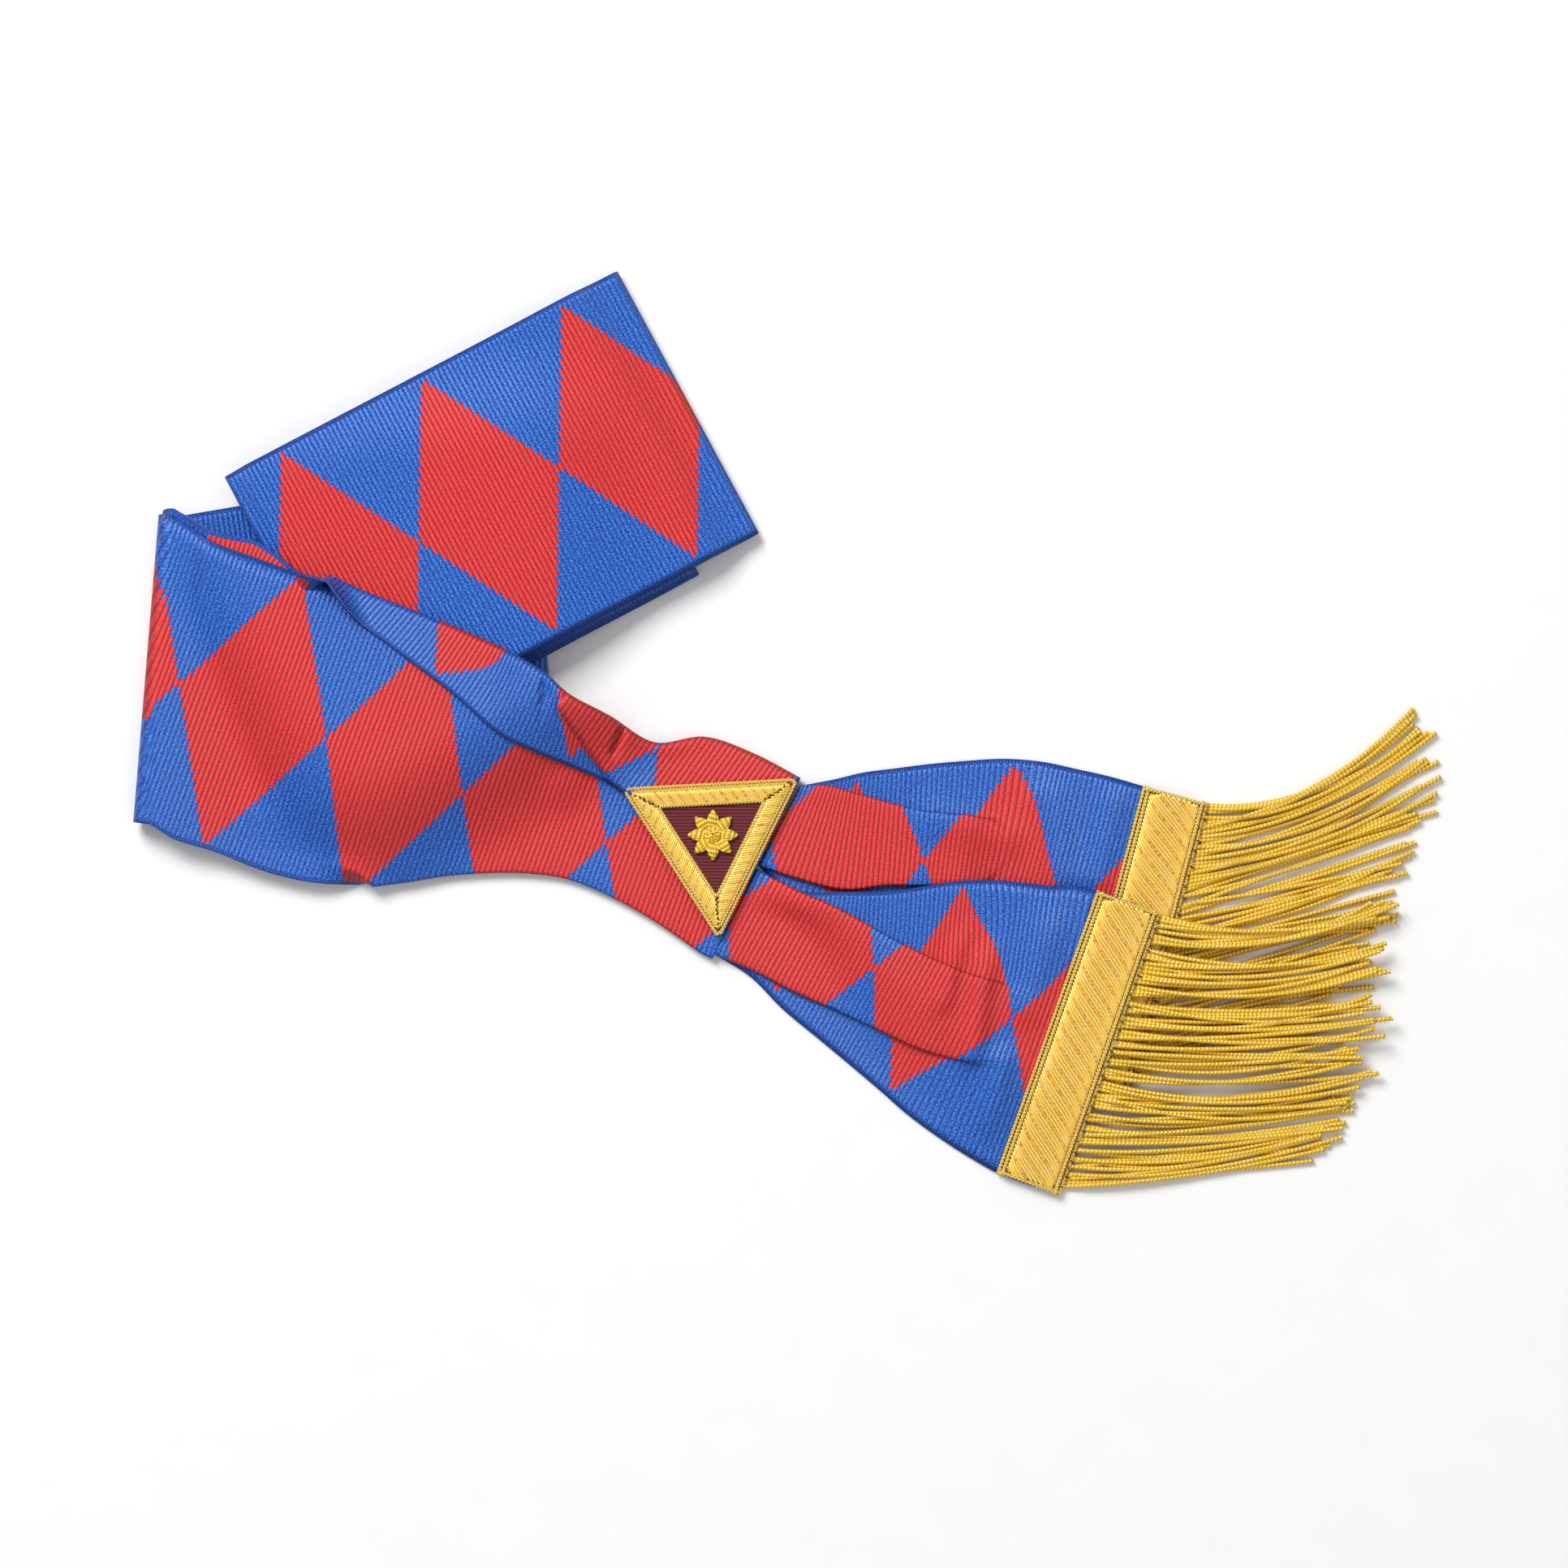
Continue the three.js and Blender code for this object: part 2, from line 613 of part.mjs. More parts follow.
// Rings of a closed cord lying nearly flat, mitred at its corners.
function cordRings(centres, radius, sides) {
  const count = centres.length;
  return centres.map((centre, i) => {
    const before = centre.clone().sub(centres[(i + count - 1) % count]).setZ(0).normalize();
    const after = centres[(i + 1) % count].clone().sub(centre).setZ(0).normalize();
    const a = new THREE.Vector2(-before.y, before.x);
    const b = new THREE.Vector2(-after.y, after.x);
    const mitre = a.clone().add(b).divideScalar(1 + a.dot(b));
    const ring = [];
    for (let k = 0; k < sides; k += 1) {
      const angle = 2 * Math.PI * k / sides;
      const side = radius * Math.cos(angle);
      ring.push(new THREE.Vector3(centre.x + mitre.x * side, centre.y + mitre.y * side,
        centre.z + radius * Math.sin(angle)));
    }
    return ring;
  });
}

const wasm = await Module();
wasm.setup();

function solidOf(geometry) {
  const mesh = new wasm.Mesh({
    numProp: 3,
    vertProperties: new Float32Array(geometry.attributes.position.array),
    triVerts: new Uint32Array(geometry.index.array),
  });
  return new wasm.Manifold(mesh);
}

function geometryOf(solid) {
  const mesh = solid.getMesh();
  const positions = [];
  for (let k = 0; k < mesh.vertProperties.length; k += mesh.numProp) {
    positions.push(mesh.vertProperties[k], mesh.vertProperties[k + 1], mesh.vertProperties[k + 2]);
  }
  return facingOut(positions, Array.from(mesh.triVerts));
}

function fused(bodies) {
  return geometryOf(bodies.map(solidOf).reduce((all, body) => all.add(body)));
}

// The head lies beside the ribbon's end under the band, and the locks grow out of it.
function fringeBody(rows, locks) {
  const end = tailEnd(rows);
  const headFrom = layerGap * 2;
  const headTo = bandInner + bandWidth - 0.4;
  const headRings = [];
  for (let i = 0; i <= bandSteps; i += 1) {
    const share = i / bandSteps;
    const base = end.ground(share);
    headRings.push([[headFrom, 0], [headFrom, ribbonWall], [headTo, ribbonWall], [headTo, 0]].map(([reach, up]) => {
      const p = end.place(share, reach);
      return new THREE.Vector3(p.x, p.y, base + up);
    }));
  }
  const bodies = [ringBody(headRings, false)];
  const profile = [[-0.5, 0.3], [-0.28, 0.95], [0.28, 1], [0.5, 0.42], [0.36, 0], [-0.36, 0]];
  locks.forEach((lock, n) => {
    const root = end.place(lock.share, headTo - fringeHeadWidth / 2);
    const bend = planPoint(lock.bendX, lock.bendY);
    const tip = planPoint(lock.tipX, lock.tipY);
    const stations = 6;
    const rings = [];
    const clear = fringeHeadWidth / 2 + bandCordWidth + 3 * layerGap;
    const first = clear / (2 * bend.clone().sub(root).dot(end.out));
    for (let i = 0; i <= stations; i += 1) {
      const t = i === 0 ? 0 : lerp(first, 1, (i - 1) / (stations - 1));
      const p = root.clone().multiplyScalar((1 - t) ** 2)
        .addScaledVector(bend, 2 * t * (1 - t)).addScaledVector(tip, t * t);
      const way = bend.clone().sub(root).multiplyScalar(1 - t)
        .addScaledVector(tip.clone().sub(bend), t).normalize();
      const side = new THREE.Vector2(way.y, -way.x);
      const past = p.clone().sub(end.place(lock.share, headTo + bandCordWidth + 3 * layerGap)).dot(end.out);
      const grown = ease(past / 5);
      const thick = lerp(ribbonWall * 0.96, fringeHeight * (0.94 + 0.12 * (n % 2)), grown) * (i === stations ? 0.6 : 1);
      const wide = mm(lock.wide) * (i === stations ? 0.72 : 1) * (1 + 0.03 * Math.sin(2.3 * n + 5 * t));
      const settle = ease((past - 1) / 45);
      rings.push(profile.map(([across, up]) => {
        const q = p.clone().addScaledVector(side, across * wide);
        const low = lerp(end.ground(end.shareOf(q)), lock.tipHigh * layer, settle);
        return new THREE.Vector3(q.x, q.y, low + 0.02 + up * thick);
      }));
    }
    bodies.push(ringBody(rings, false));
  });
  return fused(bodies);
}

// The badge over the join

const badgeGround = 4 * layer + layerGap;
const badgeCorners = badgeRows.map((row) => planPoint(row.x, row.y));

function badgeRing(inset, up) {
  const count = badgeCorners.length;
  return badgeCorners.map((corner, i) => {
    const before = corner.clone().sub(badgeCorners[(i + count - 1) % count]).normalize();
    const after = badgeCorners[(i + 1) % count].clone().sub(corner).normalize();
    const a = new THREE.Vector2(before.y, -before.x);
    const b = new THREE.Vector2(after.y, -after.x);
    const mitre = a.clone().add(b).divideScalar(1 + a.dot(b));
    const p = corner.clone().addScaledVector(mitre, inset);
    return new THREE.Vector3(p.x, p.y, badgeGround + up);
  });
}

// A hoop of three sides whose section is a chain of [inset, height].
function badgeHoop(section) {
  const rings = section.map(([inset, up]) => badgeRing(inset, up));
  const count = badgeCorners.length;
  const turned = [];
  for (let i = 0; i < count; i += 1) turned.push(rings.map((ring) => ring[i]));
  return ringBody(turned, true);
}

function badgeBorder() {
  const w = badgeBorderWidth;
  const h = badgeBorderHeight;
  const from = badgeCordWidth + layerGap;
  return badgeHoop([[0, 0], [0, 0.5], [0.14, 0.88], [0.36, 1], [0.64, 1], [0.86, 0.88], [1, 0.5], [1, 0]]
    .map(([across, up]) => [from + w * across, h * up]));
}

function badgeCord() {
  const r = badgeCordWidth / 2;
  const section = [];
  for (let k = 0; k < 8; k += 1) {
    const angle = 2 * Math.PI * k / 8;
    section.push([r - r * Math.cos(angle), r + r * Math.sin(angle)]);
  }
  return badgeHoop(section);
}

function badgeField() {
  const inset = badgeCordWidth + badgeBorderWidth + 2 * layerGap;
  const h = badgeFieldHeight;
  const rings = [badgeRing(inset, 0), badgeRing(inset, h * 0.75), badgeRing(inset + h * 0.3, h)];
  return ringBody(rings, false);
}

// A plain rosette: one ring of petals around a domed middle.
function rosette() {
  const middle = badgeRing(badgeCordWidth + badgeBorderWidth, 0)
    .reduce((sum, v) => sum.add(v), new THREE.Vector3()).divideScalar(badgeCorners.length);
  const base = badgeGround + badgeFieldHeight + layerGap;
  const bodies = [];
  const lobe = (radiusX, radiusY, high, angle, reach) => {
    const rim = [];
    for (let k = 0; k < 7; k += 1) rim.push(2 * Math.PI * k / 7);
    const rings = [[1, 0], [0.88, 0.6], [0.4, 1]].map(([wide, up]) => rim.map((a) => {
      const x = reach + radiusX * wide * Math.cos(a);
      const y = radiusY * wide * Math.sin(a);
      return new THREE.Vector3(middle.x + x * Math.cos(angle) - y * Math.sin(angle),
        middle.y + x * Math.sin(angle) + y * Math.cos(angle), base + high * up);
    }));
    return ringBody(rings, false);
  };
  for (let k = 0; k < rosettePetals; k += 1) {
    const angle = 2 * Math.PI * k / rosettePetals;
    bodies.push(lobe(rosetteRadius * 0.36, rosetteRadius * 0.25, rosetteHeight * 0.8, angle, rosetteRadius * 0.62));
  }
  bodies.push(lobe(rosetteRadius * 0.36, rosetteRadius * 0.36, rosetteHeight, 0, 0));
  return fused(bodies);
}

// Assembly

const sash = new THREE.Group();
sash.name = 'sash';

function add(name, geometry, color, roughness, metalness) {
  const material = new THREE.MeshStandardMaterial({ color, roughness, metalness });
  material.name = name;
  const mesh = new THREE.Mesh(geometry, material);
  mesh.name = name;
  sash.add(mesh);
}

add('loop_ribbon', clothGeometry(loopGrid(), ribbonWall), 0x2a62c0, 0.6, 0);
add('upper_tail', clothGeometry(tailGrid(upperTailRows), ribbonWall), 0xc02a33, 0.6, 0);
add('lower_tail', clothGeometry(tailGrid(lowerTailRows), ribbonWall), 0xc02a33, 0.6, 0);
add('upper_band', bandBody(upperTailRows), 0xd9a520, 0.4, 0.6);
add('lower_band', bandBody(lowerTailRows), 0xd9a520, 0.4, 0.6);
add('upper_band_cord', bandCord(upperTailRows), 0xe8bf4a, 0.4, 0.6);
add('lower_band_cord', bandCord(lowerTailRows), 0xe8bf4a, 0.4, 0.6);
add('upper_fringe', fringeBody(upperTailRows, upperLocks), 0xe0b030, 0.45, 0.6);
add('lower_fringe', fringeBody(lowerTailRows, lowerLocks), 0xe0b030, 0.45, 0.6);
add('badge_field', badgeField(), 0x6b1420, 0.7, 0);
add('badge_border', badgeBorder(), 0xd9a520, 0.4, 0.6);
add('badge_cord', badgeCord(), 0xe8bf4a, 0.4, 0.6);
add('badge_rosette', rosette(), 0xe8bf4a, 0.4, 0.6);

// The origin is at the middle of the sash's box, on the table.
const box = new THREE.Box3().setFromObject(sash);
const middle = box.getCenter(new THREE.Vector3());
sash.children.forEach((mesh) => mesh.geometry.translate(-middle.x, -middle.y, -box.min.z));

export default sash;
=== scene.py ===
import math

import bpy
import numpy as np
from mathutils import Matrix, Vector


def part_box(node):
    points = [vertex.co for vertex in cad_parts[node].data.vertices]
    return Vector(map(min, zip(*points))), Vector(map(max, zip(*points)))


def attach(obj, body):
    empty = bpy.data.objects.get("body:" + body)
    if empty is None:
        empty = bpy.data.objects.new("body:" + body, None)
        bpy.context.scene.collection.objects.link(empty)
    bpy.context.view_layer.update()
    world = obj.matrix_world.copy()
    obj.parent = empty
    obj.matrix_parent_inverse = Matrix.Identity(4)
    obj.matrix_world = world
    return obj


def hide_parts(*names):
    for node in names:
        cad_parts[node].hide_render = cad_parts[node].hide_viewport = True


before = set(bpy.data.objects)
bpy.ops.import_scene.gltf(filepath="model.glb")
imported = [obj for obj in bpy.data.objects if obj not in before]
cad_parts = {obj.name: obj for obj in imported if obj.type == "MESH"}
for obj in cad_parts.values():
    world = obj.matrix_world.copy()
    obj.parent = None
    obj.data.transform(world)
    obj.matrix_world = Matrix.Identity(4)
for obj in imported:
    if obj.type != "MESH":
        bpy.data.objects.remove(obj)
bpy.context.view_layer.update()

# A folded regalia sash on a pale floor. Lengths are metres, plan places and lengths in the
# tables are shares of the ribbon's width, and heights in the tables count layers of cloth.

RIBBON_WIDTH = 0.1016
WALL = 0.0010
GAP = 0.0003
LAYER = WALL + GAP
HALF_WALL = WALL / 2
JOIN_REACH = 0.0005
STEP_RUN = 0.038
ARM_RUN = 0.046
ARM_PLATEAU = 0.011
BAND_WIDTH = 0.0205
BAND_HEIGHT = 0.0024
CORD_WIDTH = 0.0014
BORDER_WIDTH = 0.0062
BORDER_HEIGHT = 0.0026
FIELD_HEIGHT = 0.0014
BAND_INNER = -BAND_WIDTH * 0.62
STRAND_RADIUS = 0.00088
STRAND_PITCH = 0.0014
STRAND_COUNT = 74

# The ribs of the weave, the lozenges along the ribbon and their half width across it.

RIB = 0.0017
LOZENGE = 0.0537
LOZENGE_REACH = RIBBON_WIDTH * 0.4805

# Layers of cloth in the lowest pass, in the whole stack and under the badge.

LOWEST_LAYERS = 4
STACK_LAYERS = 12
JOIN_LAYERS = 4
BADGE_GROUND = JOIN_LAYERS * LAYER + GAP

# The camera looks nearly straight down.

CAMERA_TILT = math.radians(3.0)
CAMERA_HEIGHT = 2.5
VIEW_WIDTH = 0.532652


# Tables

def table(columns, lines):
    """Rows of numbers under named columns."""
    return {name: np.array([line[i] for line in lines], float) for i, name in enumerate(columns)}


def row_at(rows, t):
    """Smooth value of every column at row position t, passing through each row."""
    out = {}
    for name, values in rows.items():
        last = len(values) - 1
        i = min(int(math.floor(t)), last - 1)
        f = t - i
        a, b, c, d = (values[max(0, min(last, k))] for k in (i - 1, i, i + 1, i + 2))
        out[name] = (2 * b + (c - a) * f + (2 * a - 5 * b + 4 * c - d) * f * f
                     + (3 * b - a - 3 * c + d) * f ** 3) / 2
    return out


FOLDS = table(("x", "y", "slack", "fall", "fallRun"), [
    (-2.081, 0.201, 0, 0, 0),
    (-0.833, 0.415, 0, 0, 0),
    (-1.536, 0.415, 0.006, 0, 0),
    (-0.551, 0.947, 0.012, 0, 0),
    (-1.528, 0.445, 0.006, 0, 0),
    (-0.366, 1.077, 0.024, 3.4, 0.155),
    (-1.623, 0.404, 0, 2, 0.08),
])

ARMS = table(("topX", "topY", "lowX", "lowY", "under", "underTurn", "flap", "flapTurn", "level", "lift"), [
    (-2.046, 0.706, -2.119, -0.304, 0.06, 0, 0.06, 0, 1, 6.5),
    (-1.913, 0.624, -2.043, -0.364, 0.06, 0, 0.06, 0, 1, 6),
    (-1.756, 0.564, -1.897, -0.410, 0.06, 0, 0.06, 0, 1, 4.6),
    (-1.615, 0.513, -1.739, -0.472, 0.06, 0, 0.06, 20, 1.3, 3),
    (-1.501, 0.472, -1.579, -0.510, 0.06, 0, 0.075, 120, 1.7, 2.4),
    (-1.381, 0.423, -1.427, -0.513, 0.06, 60, 0.1, 178, 2, 3),
    (-1.229, 0.364, -1.281, -0.502, 0.1, 178, 0.15, 180, 2, 0.6),
    (-1.083, 0.304, -1.132, -0.478, 0.19, 180, 0.2, 180, 2, 0.3),
    (-0.936, 0.239, -0.980, -0.467, 0.27, 180, 0.26, 180, 2, 0.2),
    (-0.811, 0.168, -0.855, -0.469, 0.35, 180, 0.25, 180, 2, 0.1),
    (-0.716, 0.087, -0.725, -0.488, 0.41, 180, 0.21, 180, 2, 0),
    (-0.583, 0.019, -0.583, -0.545, 0.43, 180, 0.2, 180, 2, 0),
    (-0.437, -0.065, -0.453, -0.616, 0.43, 180, 0.2, 180, 2, 0),
    (-0.269, -0.046, -0.350, -0.684, 0.36, 180, 0.25, 180, 2, 0),
    (-0.111, -0.100, -0.290, -0.727, 0.34, 180, 0.3, 180, 2, 0),
    (0.038, -0.179, -0.242, -0.754, 0.333, 180, 0.333, 180, 2, 0),
])

TAIL_COLUMNS = ("topX", "topY", "lowX", "lowY", "above", "below", "high", "dropFrom", "dropTo")
UPPER_TAIL = table(TAIL_COLUMNS, [
    (0.052, -0.185, -0.087, -0.453, 0, 0, 0, 0.5, 1),
    (0.147, -0.187, 0.041, -0.497, 0.022, 0.060, 0, 0.5, 1),
    (0.247, -0.214, 0.198, -0.535, 0.073, 0.110, 0, 0.5, 1),
    (0.355, -0.244, 0.329, -0.521, 0.117, 0.177, 0, 0.5, 1),
    (0.464, -0.269, 0.437, -0.521, 0.157, 0.228, 0, 0.5, 1),
    (0.573, -0.280, 0.540, -0.521, 0.179, 0.340, 0, 0.5, 1),
    (0.692, -0.285, 0.649, -0.521, 0.193, 0.475, 0, 0.5, 1),
    (0.806, -0.304, 0.763, -0.461, 0.206, 0.619, 0, 0.5, 1),
    (0.920, -0.331, 0.877, -0.491, 0.209, 0.624, 0, 0.5, 1),
    (1.018, -0.353, 0.974, -0.513, 0.209, 0.624, 0, 0.5, 1),
    (1.153, -0.391, 1.110, -0.551, 0.209, 0.624, 0, 0.5, 1),
    (1.275, -0.423, 1.232, -0.583, 0.209, 0.624, 0, 0.5, 1),
])
LOWER_TAIL = table(TAIL_COLUMNS, [
    (-0.095, -0.464, -0.236, -0.749, 0, 0, 0, 0.1, 0.5),
    (0.043, -0.537, -0.106, -0.803, 0, 0.022, 2.4, 0.1, 0.34),
    (0.171, -0.594, 0.024, -0.871, 0.060, 0.068, 3.3, 0.15, 0.5),
    (0.307, -0.668, 0.166, -0.934, 0.149, 0.111, 3.3, 0.35, 0.75),
    (0.437, -0.738, 0.293, -0.993, 0.266, 0.147, 3.3, 0.5, 0.9),
    (0.543, -0.787, 0.404, -1.047, 0.323, 0.179, 3.3, 0.55, 0.95),
    (0.643, -0.822, 0.502, -1.091, 0.350, 0.212, 3.3, 0.6, 0.98),
    (0.746, -0.847, 0.627, -1.121, 0.355, 0.266, 3.3, 0.62, 1),
    (0.847, -0.868, 0.744, -1.145, 0.369, 0.312, 3.3, 0.64, 1),
    (0.939, -0.893, 0.841, -1.167, 0.369, 0.339, 3.3, 0.6, 1),
    (1.045, -0.931, 0.947, -1.205, 0.369, 0.339, 3.3, 0.6, 1),
])

BADGE = table(("x", "y"), [
    (-0.551, -0.193),
    (0.052, -0.160),
    (-0.220, -0.708),
])


# Plain helpers

def plan(x, y):
    return np.array([x, y], float) * RIBBON_WIDTH


def places_of(rows):
    """Plan places of a table's x and y."""
    return [plan(x, y) for x, y in zip(rows["x"], rows["y"])]


def unit(v):
    return v / np.linalg.norm(v)


def units(lines):
    """Directions of many lines at once."""
    return lines / (np.linalg.norm(lines, axis=-1, keepdims=True) + 1e-12)


def arc_lengths(points):
    steps = np.linalg.norm(np.diff(points, axis=0), axis=1)
    return np.concatenate([[0], np.cumsum(steps)])


def lerp(a, b, t):
    return a + (b - a) * t


def ease(t):
    c = np.clip(t, 0, 1)
    return c * c * (3 - 2 * c)


def outside(corners, p):
    """Distance of plan points from a convex region whose corners run counterclockwise."""
    inside = np.ones(len(p), bool)
    best = np.full(len(p), np.inf)
    for i, a in enumerate(corners):
        edge = corners[(i + 1) % len(corners)] - a
        to = p - a
        inside &= edge[0] * to[:, 1] - edge[1] * to[:, 0] >= 0
        t = np.clip(to @ edge / (edge @ edge), 0, 1)
        best = np.minimum(best, np.linalg.norm(to - t[:, None] * edge, axis=1))
    return np.where(inside, 0, best)


def walk(chain, w):
    """Places (u, z) at arc lengths w along a chain of (length, turn) pieces."""
    w = np.asarray(w, float)
    u = np.zeros_like(w)
    z = np.zeros_like(w)
    u0 = z0 = heading = start = 0.0
    for length, turn in chain:
        d = np.clip(w - start, 0, length)
        if abs(turn) < 1e-6:
            du, dz = d * math.cos(heading), d * math.sin(heading)
            end = (length * math.cos(heading), length * math.sin(heading))
        else:
            radius = length / turn
            bend = d / radius
            du = radius * (np.sin(heading + bend) - math.sin(heading))
            dz = radius * (math.cos(heading) - np.cos(heading + bend))
            end = (radius * (math.sin(heading + turn) - math.sin(heading)),
                   radius * (math.cos(heading) - math.cos(heading + turn)))
        here = w >= start - 1e-12
        u[here] = u0 + du[here]
        z[here] = z0 + dz[here]
        u0, z0, heading, start = u0 + end[0], z0 + end[1], heading + turn, start + length
    return u, z


def stations(chain, counts):
    """Arc lengths that split each piece of a chain into its count of steps."""
    out, start = [0.0], 0.0
    for (length, _), count in zip(chain, counts):
        out += [start + length * k / count for k in range(1, count + 1)]
        start += length
    return np.array(out)


# The folded stack

centre = places_of(FOLDS)
slack = FOLDS["slack"] * RIBBON_WIDTH
fall = FOLDS["fall"] * LAYER
fall_run = FOLDS["fallRun"] * RIBBON_WIDTH
join_middle = plan(ARMS["topX"][-1] + ARMS["lowX"][-1], ARMS["topY"][-1] + ARMS["lowY"][-1]) / 2
fold_out, fold_line, fold_stretch = [], [], []
for k, at in enumerate(centre):
    back = unit((join_middle if k == 0 else centre[k - 1]) - at)
    ahead = back if k == len(centre) - 1 else unit(centre[k + 1] - at)
    out = -unit(back + ahead)
    line = np.array([-out[1], out[0]])
    line = -line if line[1] < 0 else line
    fold_out.append(out)
    fold_line.append(line)
    fold_stretch.append(1 / abs(np.array([-ahead[1], ahead[0]]) @ line))


def on_fold(k, w):
    """Plan points on fold k at distances w below the upper selvedge."""
    reach = (RIBBON_WIDTH / 2 - np.atleast_1d(np.asarray(w, float))) * fold_stretch[k]
    return centre[k] + reach[:, None] * fold_line[k]


def pass_corners(a, b):
    return [on_fold(k, w)[0] for k, w in ((a, RIBBON_WIDTH), (b, RIBBON_WIDTH), (b, 0), (a, 0))]


lowest_pass = pass_corners(0, 1)
top_pass = pass_corners(6, 5)
stack_margin = 2 * LAYER + 0.0015


def fold_fall(k, p):
    """How far the cloth droops near fold k."""
    if fall[k] == 0:
        return 0
    return fall[k] * (1 - ease((centre[k] - p) @ fold_out[k] / fall_run[k]))


def pass_height(k, level, p):
    """Height of the middle of the cloth on pass k."""
    z = level * LAYER + HALF_WALL - fold_fall(k, p) - fold_fall(k + 1, p)
    z = z + np.zeros(len(p))
    if k >= 2:
        z -= LOWEST_LAYERS * LAYER * ease((outside(lowest_pass, p) - stack_margin) / STEP_RUN)
    return z


def pass_level(k, outer):
    """Layers of cloth under pass k of the outer or inner strip."""
    return 2 * k + (0 if (k % 2 == 0) == outer else 1)


# A row of the loop is an array with a line for each point: x, y, z, then the place along for
# the ribs, the distance below the selvedge, and the place along and across for the lozenges.

def cloth_row(p, z, rib, w, along=None, across=None):
    wide = np.zeros(len(p))
    return np.column_stack([p, z + wide, rib + wide, w + wide, (rib if along is None else along) + wide,
                            (w if across is None else across) + wide])


def stack_rows(outer, w, steps):
    """Rows of one strip from the left fold to the loop's far end, and where each pass starts."""
    rows, starts = [], []
    s = 0.0
    last = len(centre) - 1
    for k in range(last):
        starts.append(s)
        level = pass_level(k, outer)
        way = unit(centre[k + 1] - centre[k])
        length = np.linalg.norm(centre[k + 1] - centre[k])
        count = steps[k]
        for i in range(0 if k == 0 else 1, count + 1):
            p = lerp(on_fold(k, w), on_fold(k + 1, w), i / count)
            rows.append(cloth_row(p, pass_height(k, level, p), s + (p - centre[k]) @ way, w))
        s += length
        if k == last - 1:
            break
        higher = pass_level(k + 1, outer)
        radius = (higher - level) / 2 * LAYER
        loose = slack[k + 1] if radius > LAYER else 0
        flat = on_fold(k + 1, w)
        low, high = pass_height(k, level, flat), pass_height(k + 1, higher, flat)
        skew = (flat - centre[k + 1]) @ way
        turns = 10
        for i in range(1, turns + 1):
            turn = math.pi * i / turns
            p = flat + fold_out[k + 1] * (radius + loose) * math.sin(turn)
            rows.append(cloth_row(p, lerp(low, high, (1 - math.cos(turn)) / 2),
                                  s + (radius + loose * 0.7) * turn + skew, w))
        s += math.pi * (radius + loose * 0.7)
    return rows, starts


def arm_support(p):
    """Height of the stack under the arms."""
    over_stack = STACK_LAYERS * LAYER * (1 - ease((outside(top_pass, p) - ARM_PLATEAU) / ARM_RUN))
    past_lowest = (outside(lowest_pass, p) - ARM_PLATEAU / 2) / (ARM_RUN * 0.4)
    over_lowest = LOWEST_LAYERS * LAYER * (1 - ease(past_lowest))
    return np.maximum(over_stack, over_lowest)


# The line of the lozenges' tips where they meet along the outer arm, and the line of the
# inner arm's upper selvedge, each with the count of lozenges passed at some of its places.

TIPS_START = plan(-2.019, 0.152)
TIPS_WAY = unit(plan(-0.597, -0.374) - TIPS_START)
TIPS_SIDE = np.array([TIPS_WAY[1], -TIPS_WAY[0]])
TIPS = table(("at", "count", "below"), [
    (-0.543, -1.02, 0),
    (0.000, 0, 0),
    (0.531, 1, 0.003),
    (1.014, 2, 0.019),
    (1.517, 3, 0),
    (2.062, 4.04, 0),
])
FLAP_LINE = table(("x", "y"), [
    (-2.217, 0.803),
    (-2.060, 0.722),
    (-1.919, 0.673),
    (-1.772, 0.630),
    (-1.669, 0.570),
    (-1.582, 0.505),
    (-1.389, 0.331),
    (-1.183, 0.157),
    (-0.996, 0.027),
    (-0.874, -0.041),
    (-0.719, -0.106),
    (-0.575, -0.136),
    (-0.391, -0.163),
    (-0.182, -0.204),
    (0.117, -0.261),
])
FLAP_COUNTS = table(("point", "count"), [
    (0, -1.35),
    (2.75, -0.5),
    (5, -0.5),
    (7, 0.5),
    (10, 1.5),
    (14, 2.8),
])
FLAP_SHIFT = table(("row", "shift"), [
    (0, 0.163),
    (2.2, 0.244),
    (3.4, 0),
])

# The edge where the gathered part of the flap rolls over the rest, the place of the lozenges
# on that part, and creases pressed into the flap.

ROLL = table(("x", "y"), [
    (-0.708, 0.168),
    (-0.727, 0.103),
    (-0.754, 0.062),
    (-0.714, 0.005),
    (-0.665, -0.068),
    (-0.616, -0.136),
    (-0.562, -0.204),
])
ROLL_JOINT = plan(-0.423, -0.060)
ROLL_WAY = np.array([0.819, -0.574])
ROLL_COUNTS = table(("at", "count"), [
    (-0.350, 1.12),
    (-0.190, 1.64),
    (0.000, 2),
    (0.529, 3),
])
ROLL_RISE = 0.0016
ROLL_EDGE = 0.0016
ROLL_FLAT = 0.005
ROLL_FADE = 0.016
ROLL_FROM, ROLL_UNTIL = 9, 13
CREASES = table(("x", "y", "endX", "endY", "depth", "wide"), [
    (-0.537, 0.003, -0.573, -0.076, 0.0017, 0.0012),
    (-0.811, 0.119, -0.866, 0.043, 0.0016, 0.0035),
    (-0.752, 0.054, -0.562, -0.204, 0.0008, 0.0012),
])


def beside(line, p):
    """Signed distance of plan points from a drawn line, positive to the right of its way."""
    best, sign = np.full(len(p), np.inf), np.ones(len(p))
    for a, b in zip(line[:-1], line[1:]):
        way = b - a
        t = np.clip((p - a) @ way / (way @ way), 0, 1)
        apart = np.linalg.norm(p - a - t[:, None] * way, axis=1)
        turn = way[0] * (p - a)[:, 1] - way[1] * (p - a)[:, 0]
        nearer = apart < best
        best, sign = np.where(nearer, apart, best), np.where(nearer, np.sign(turn), sign)
    return best * sign


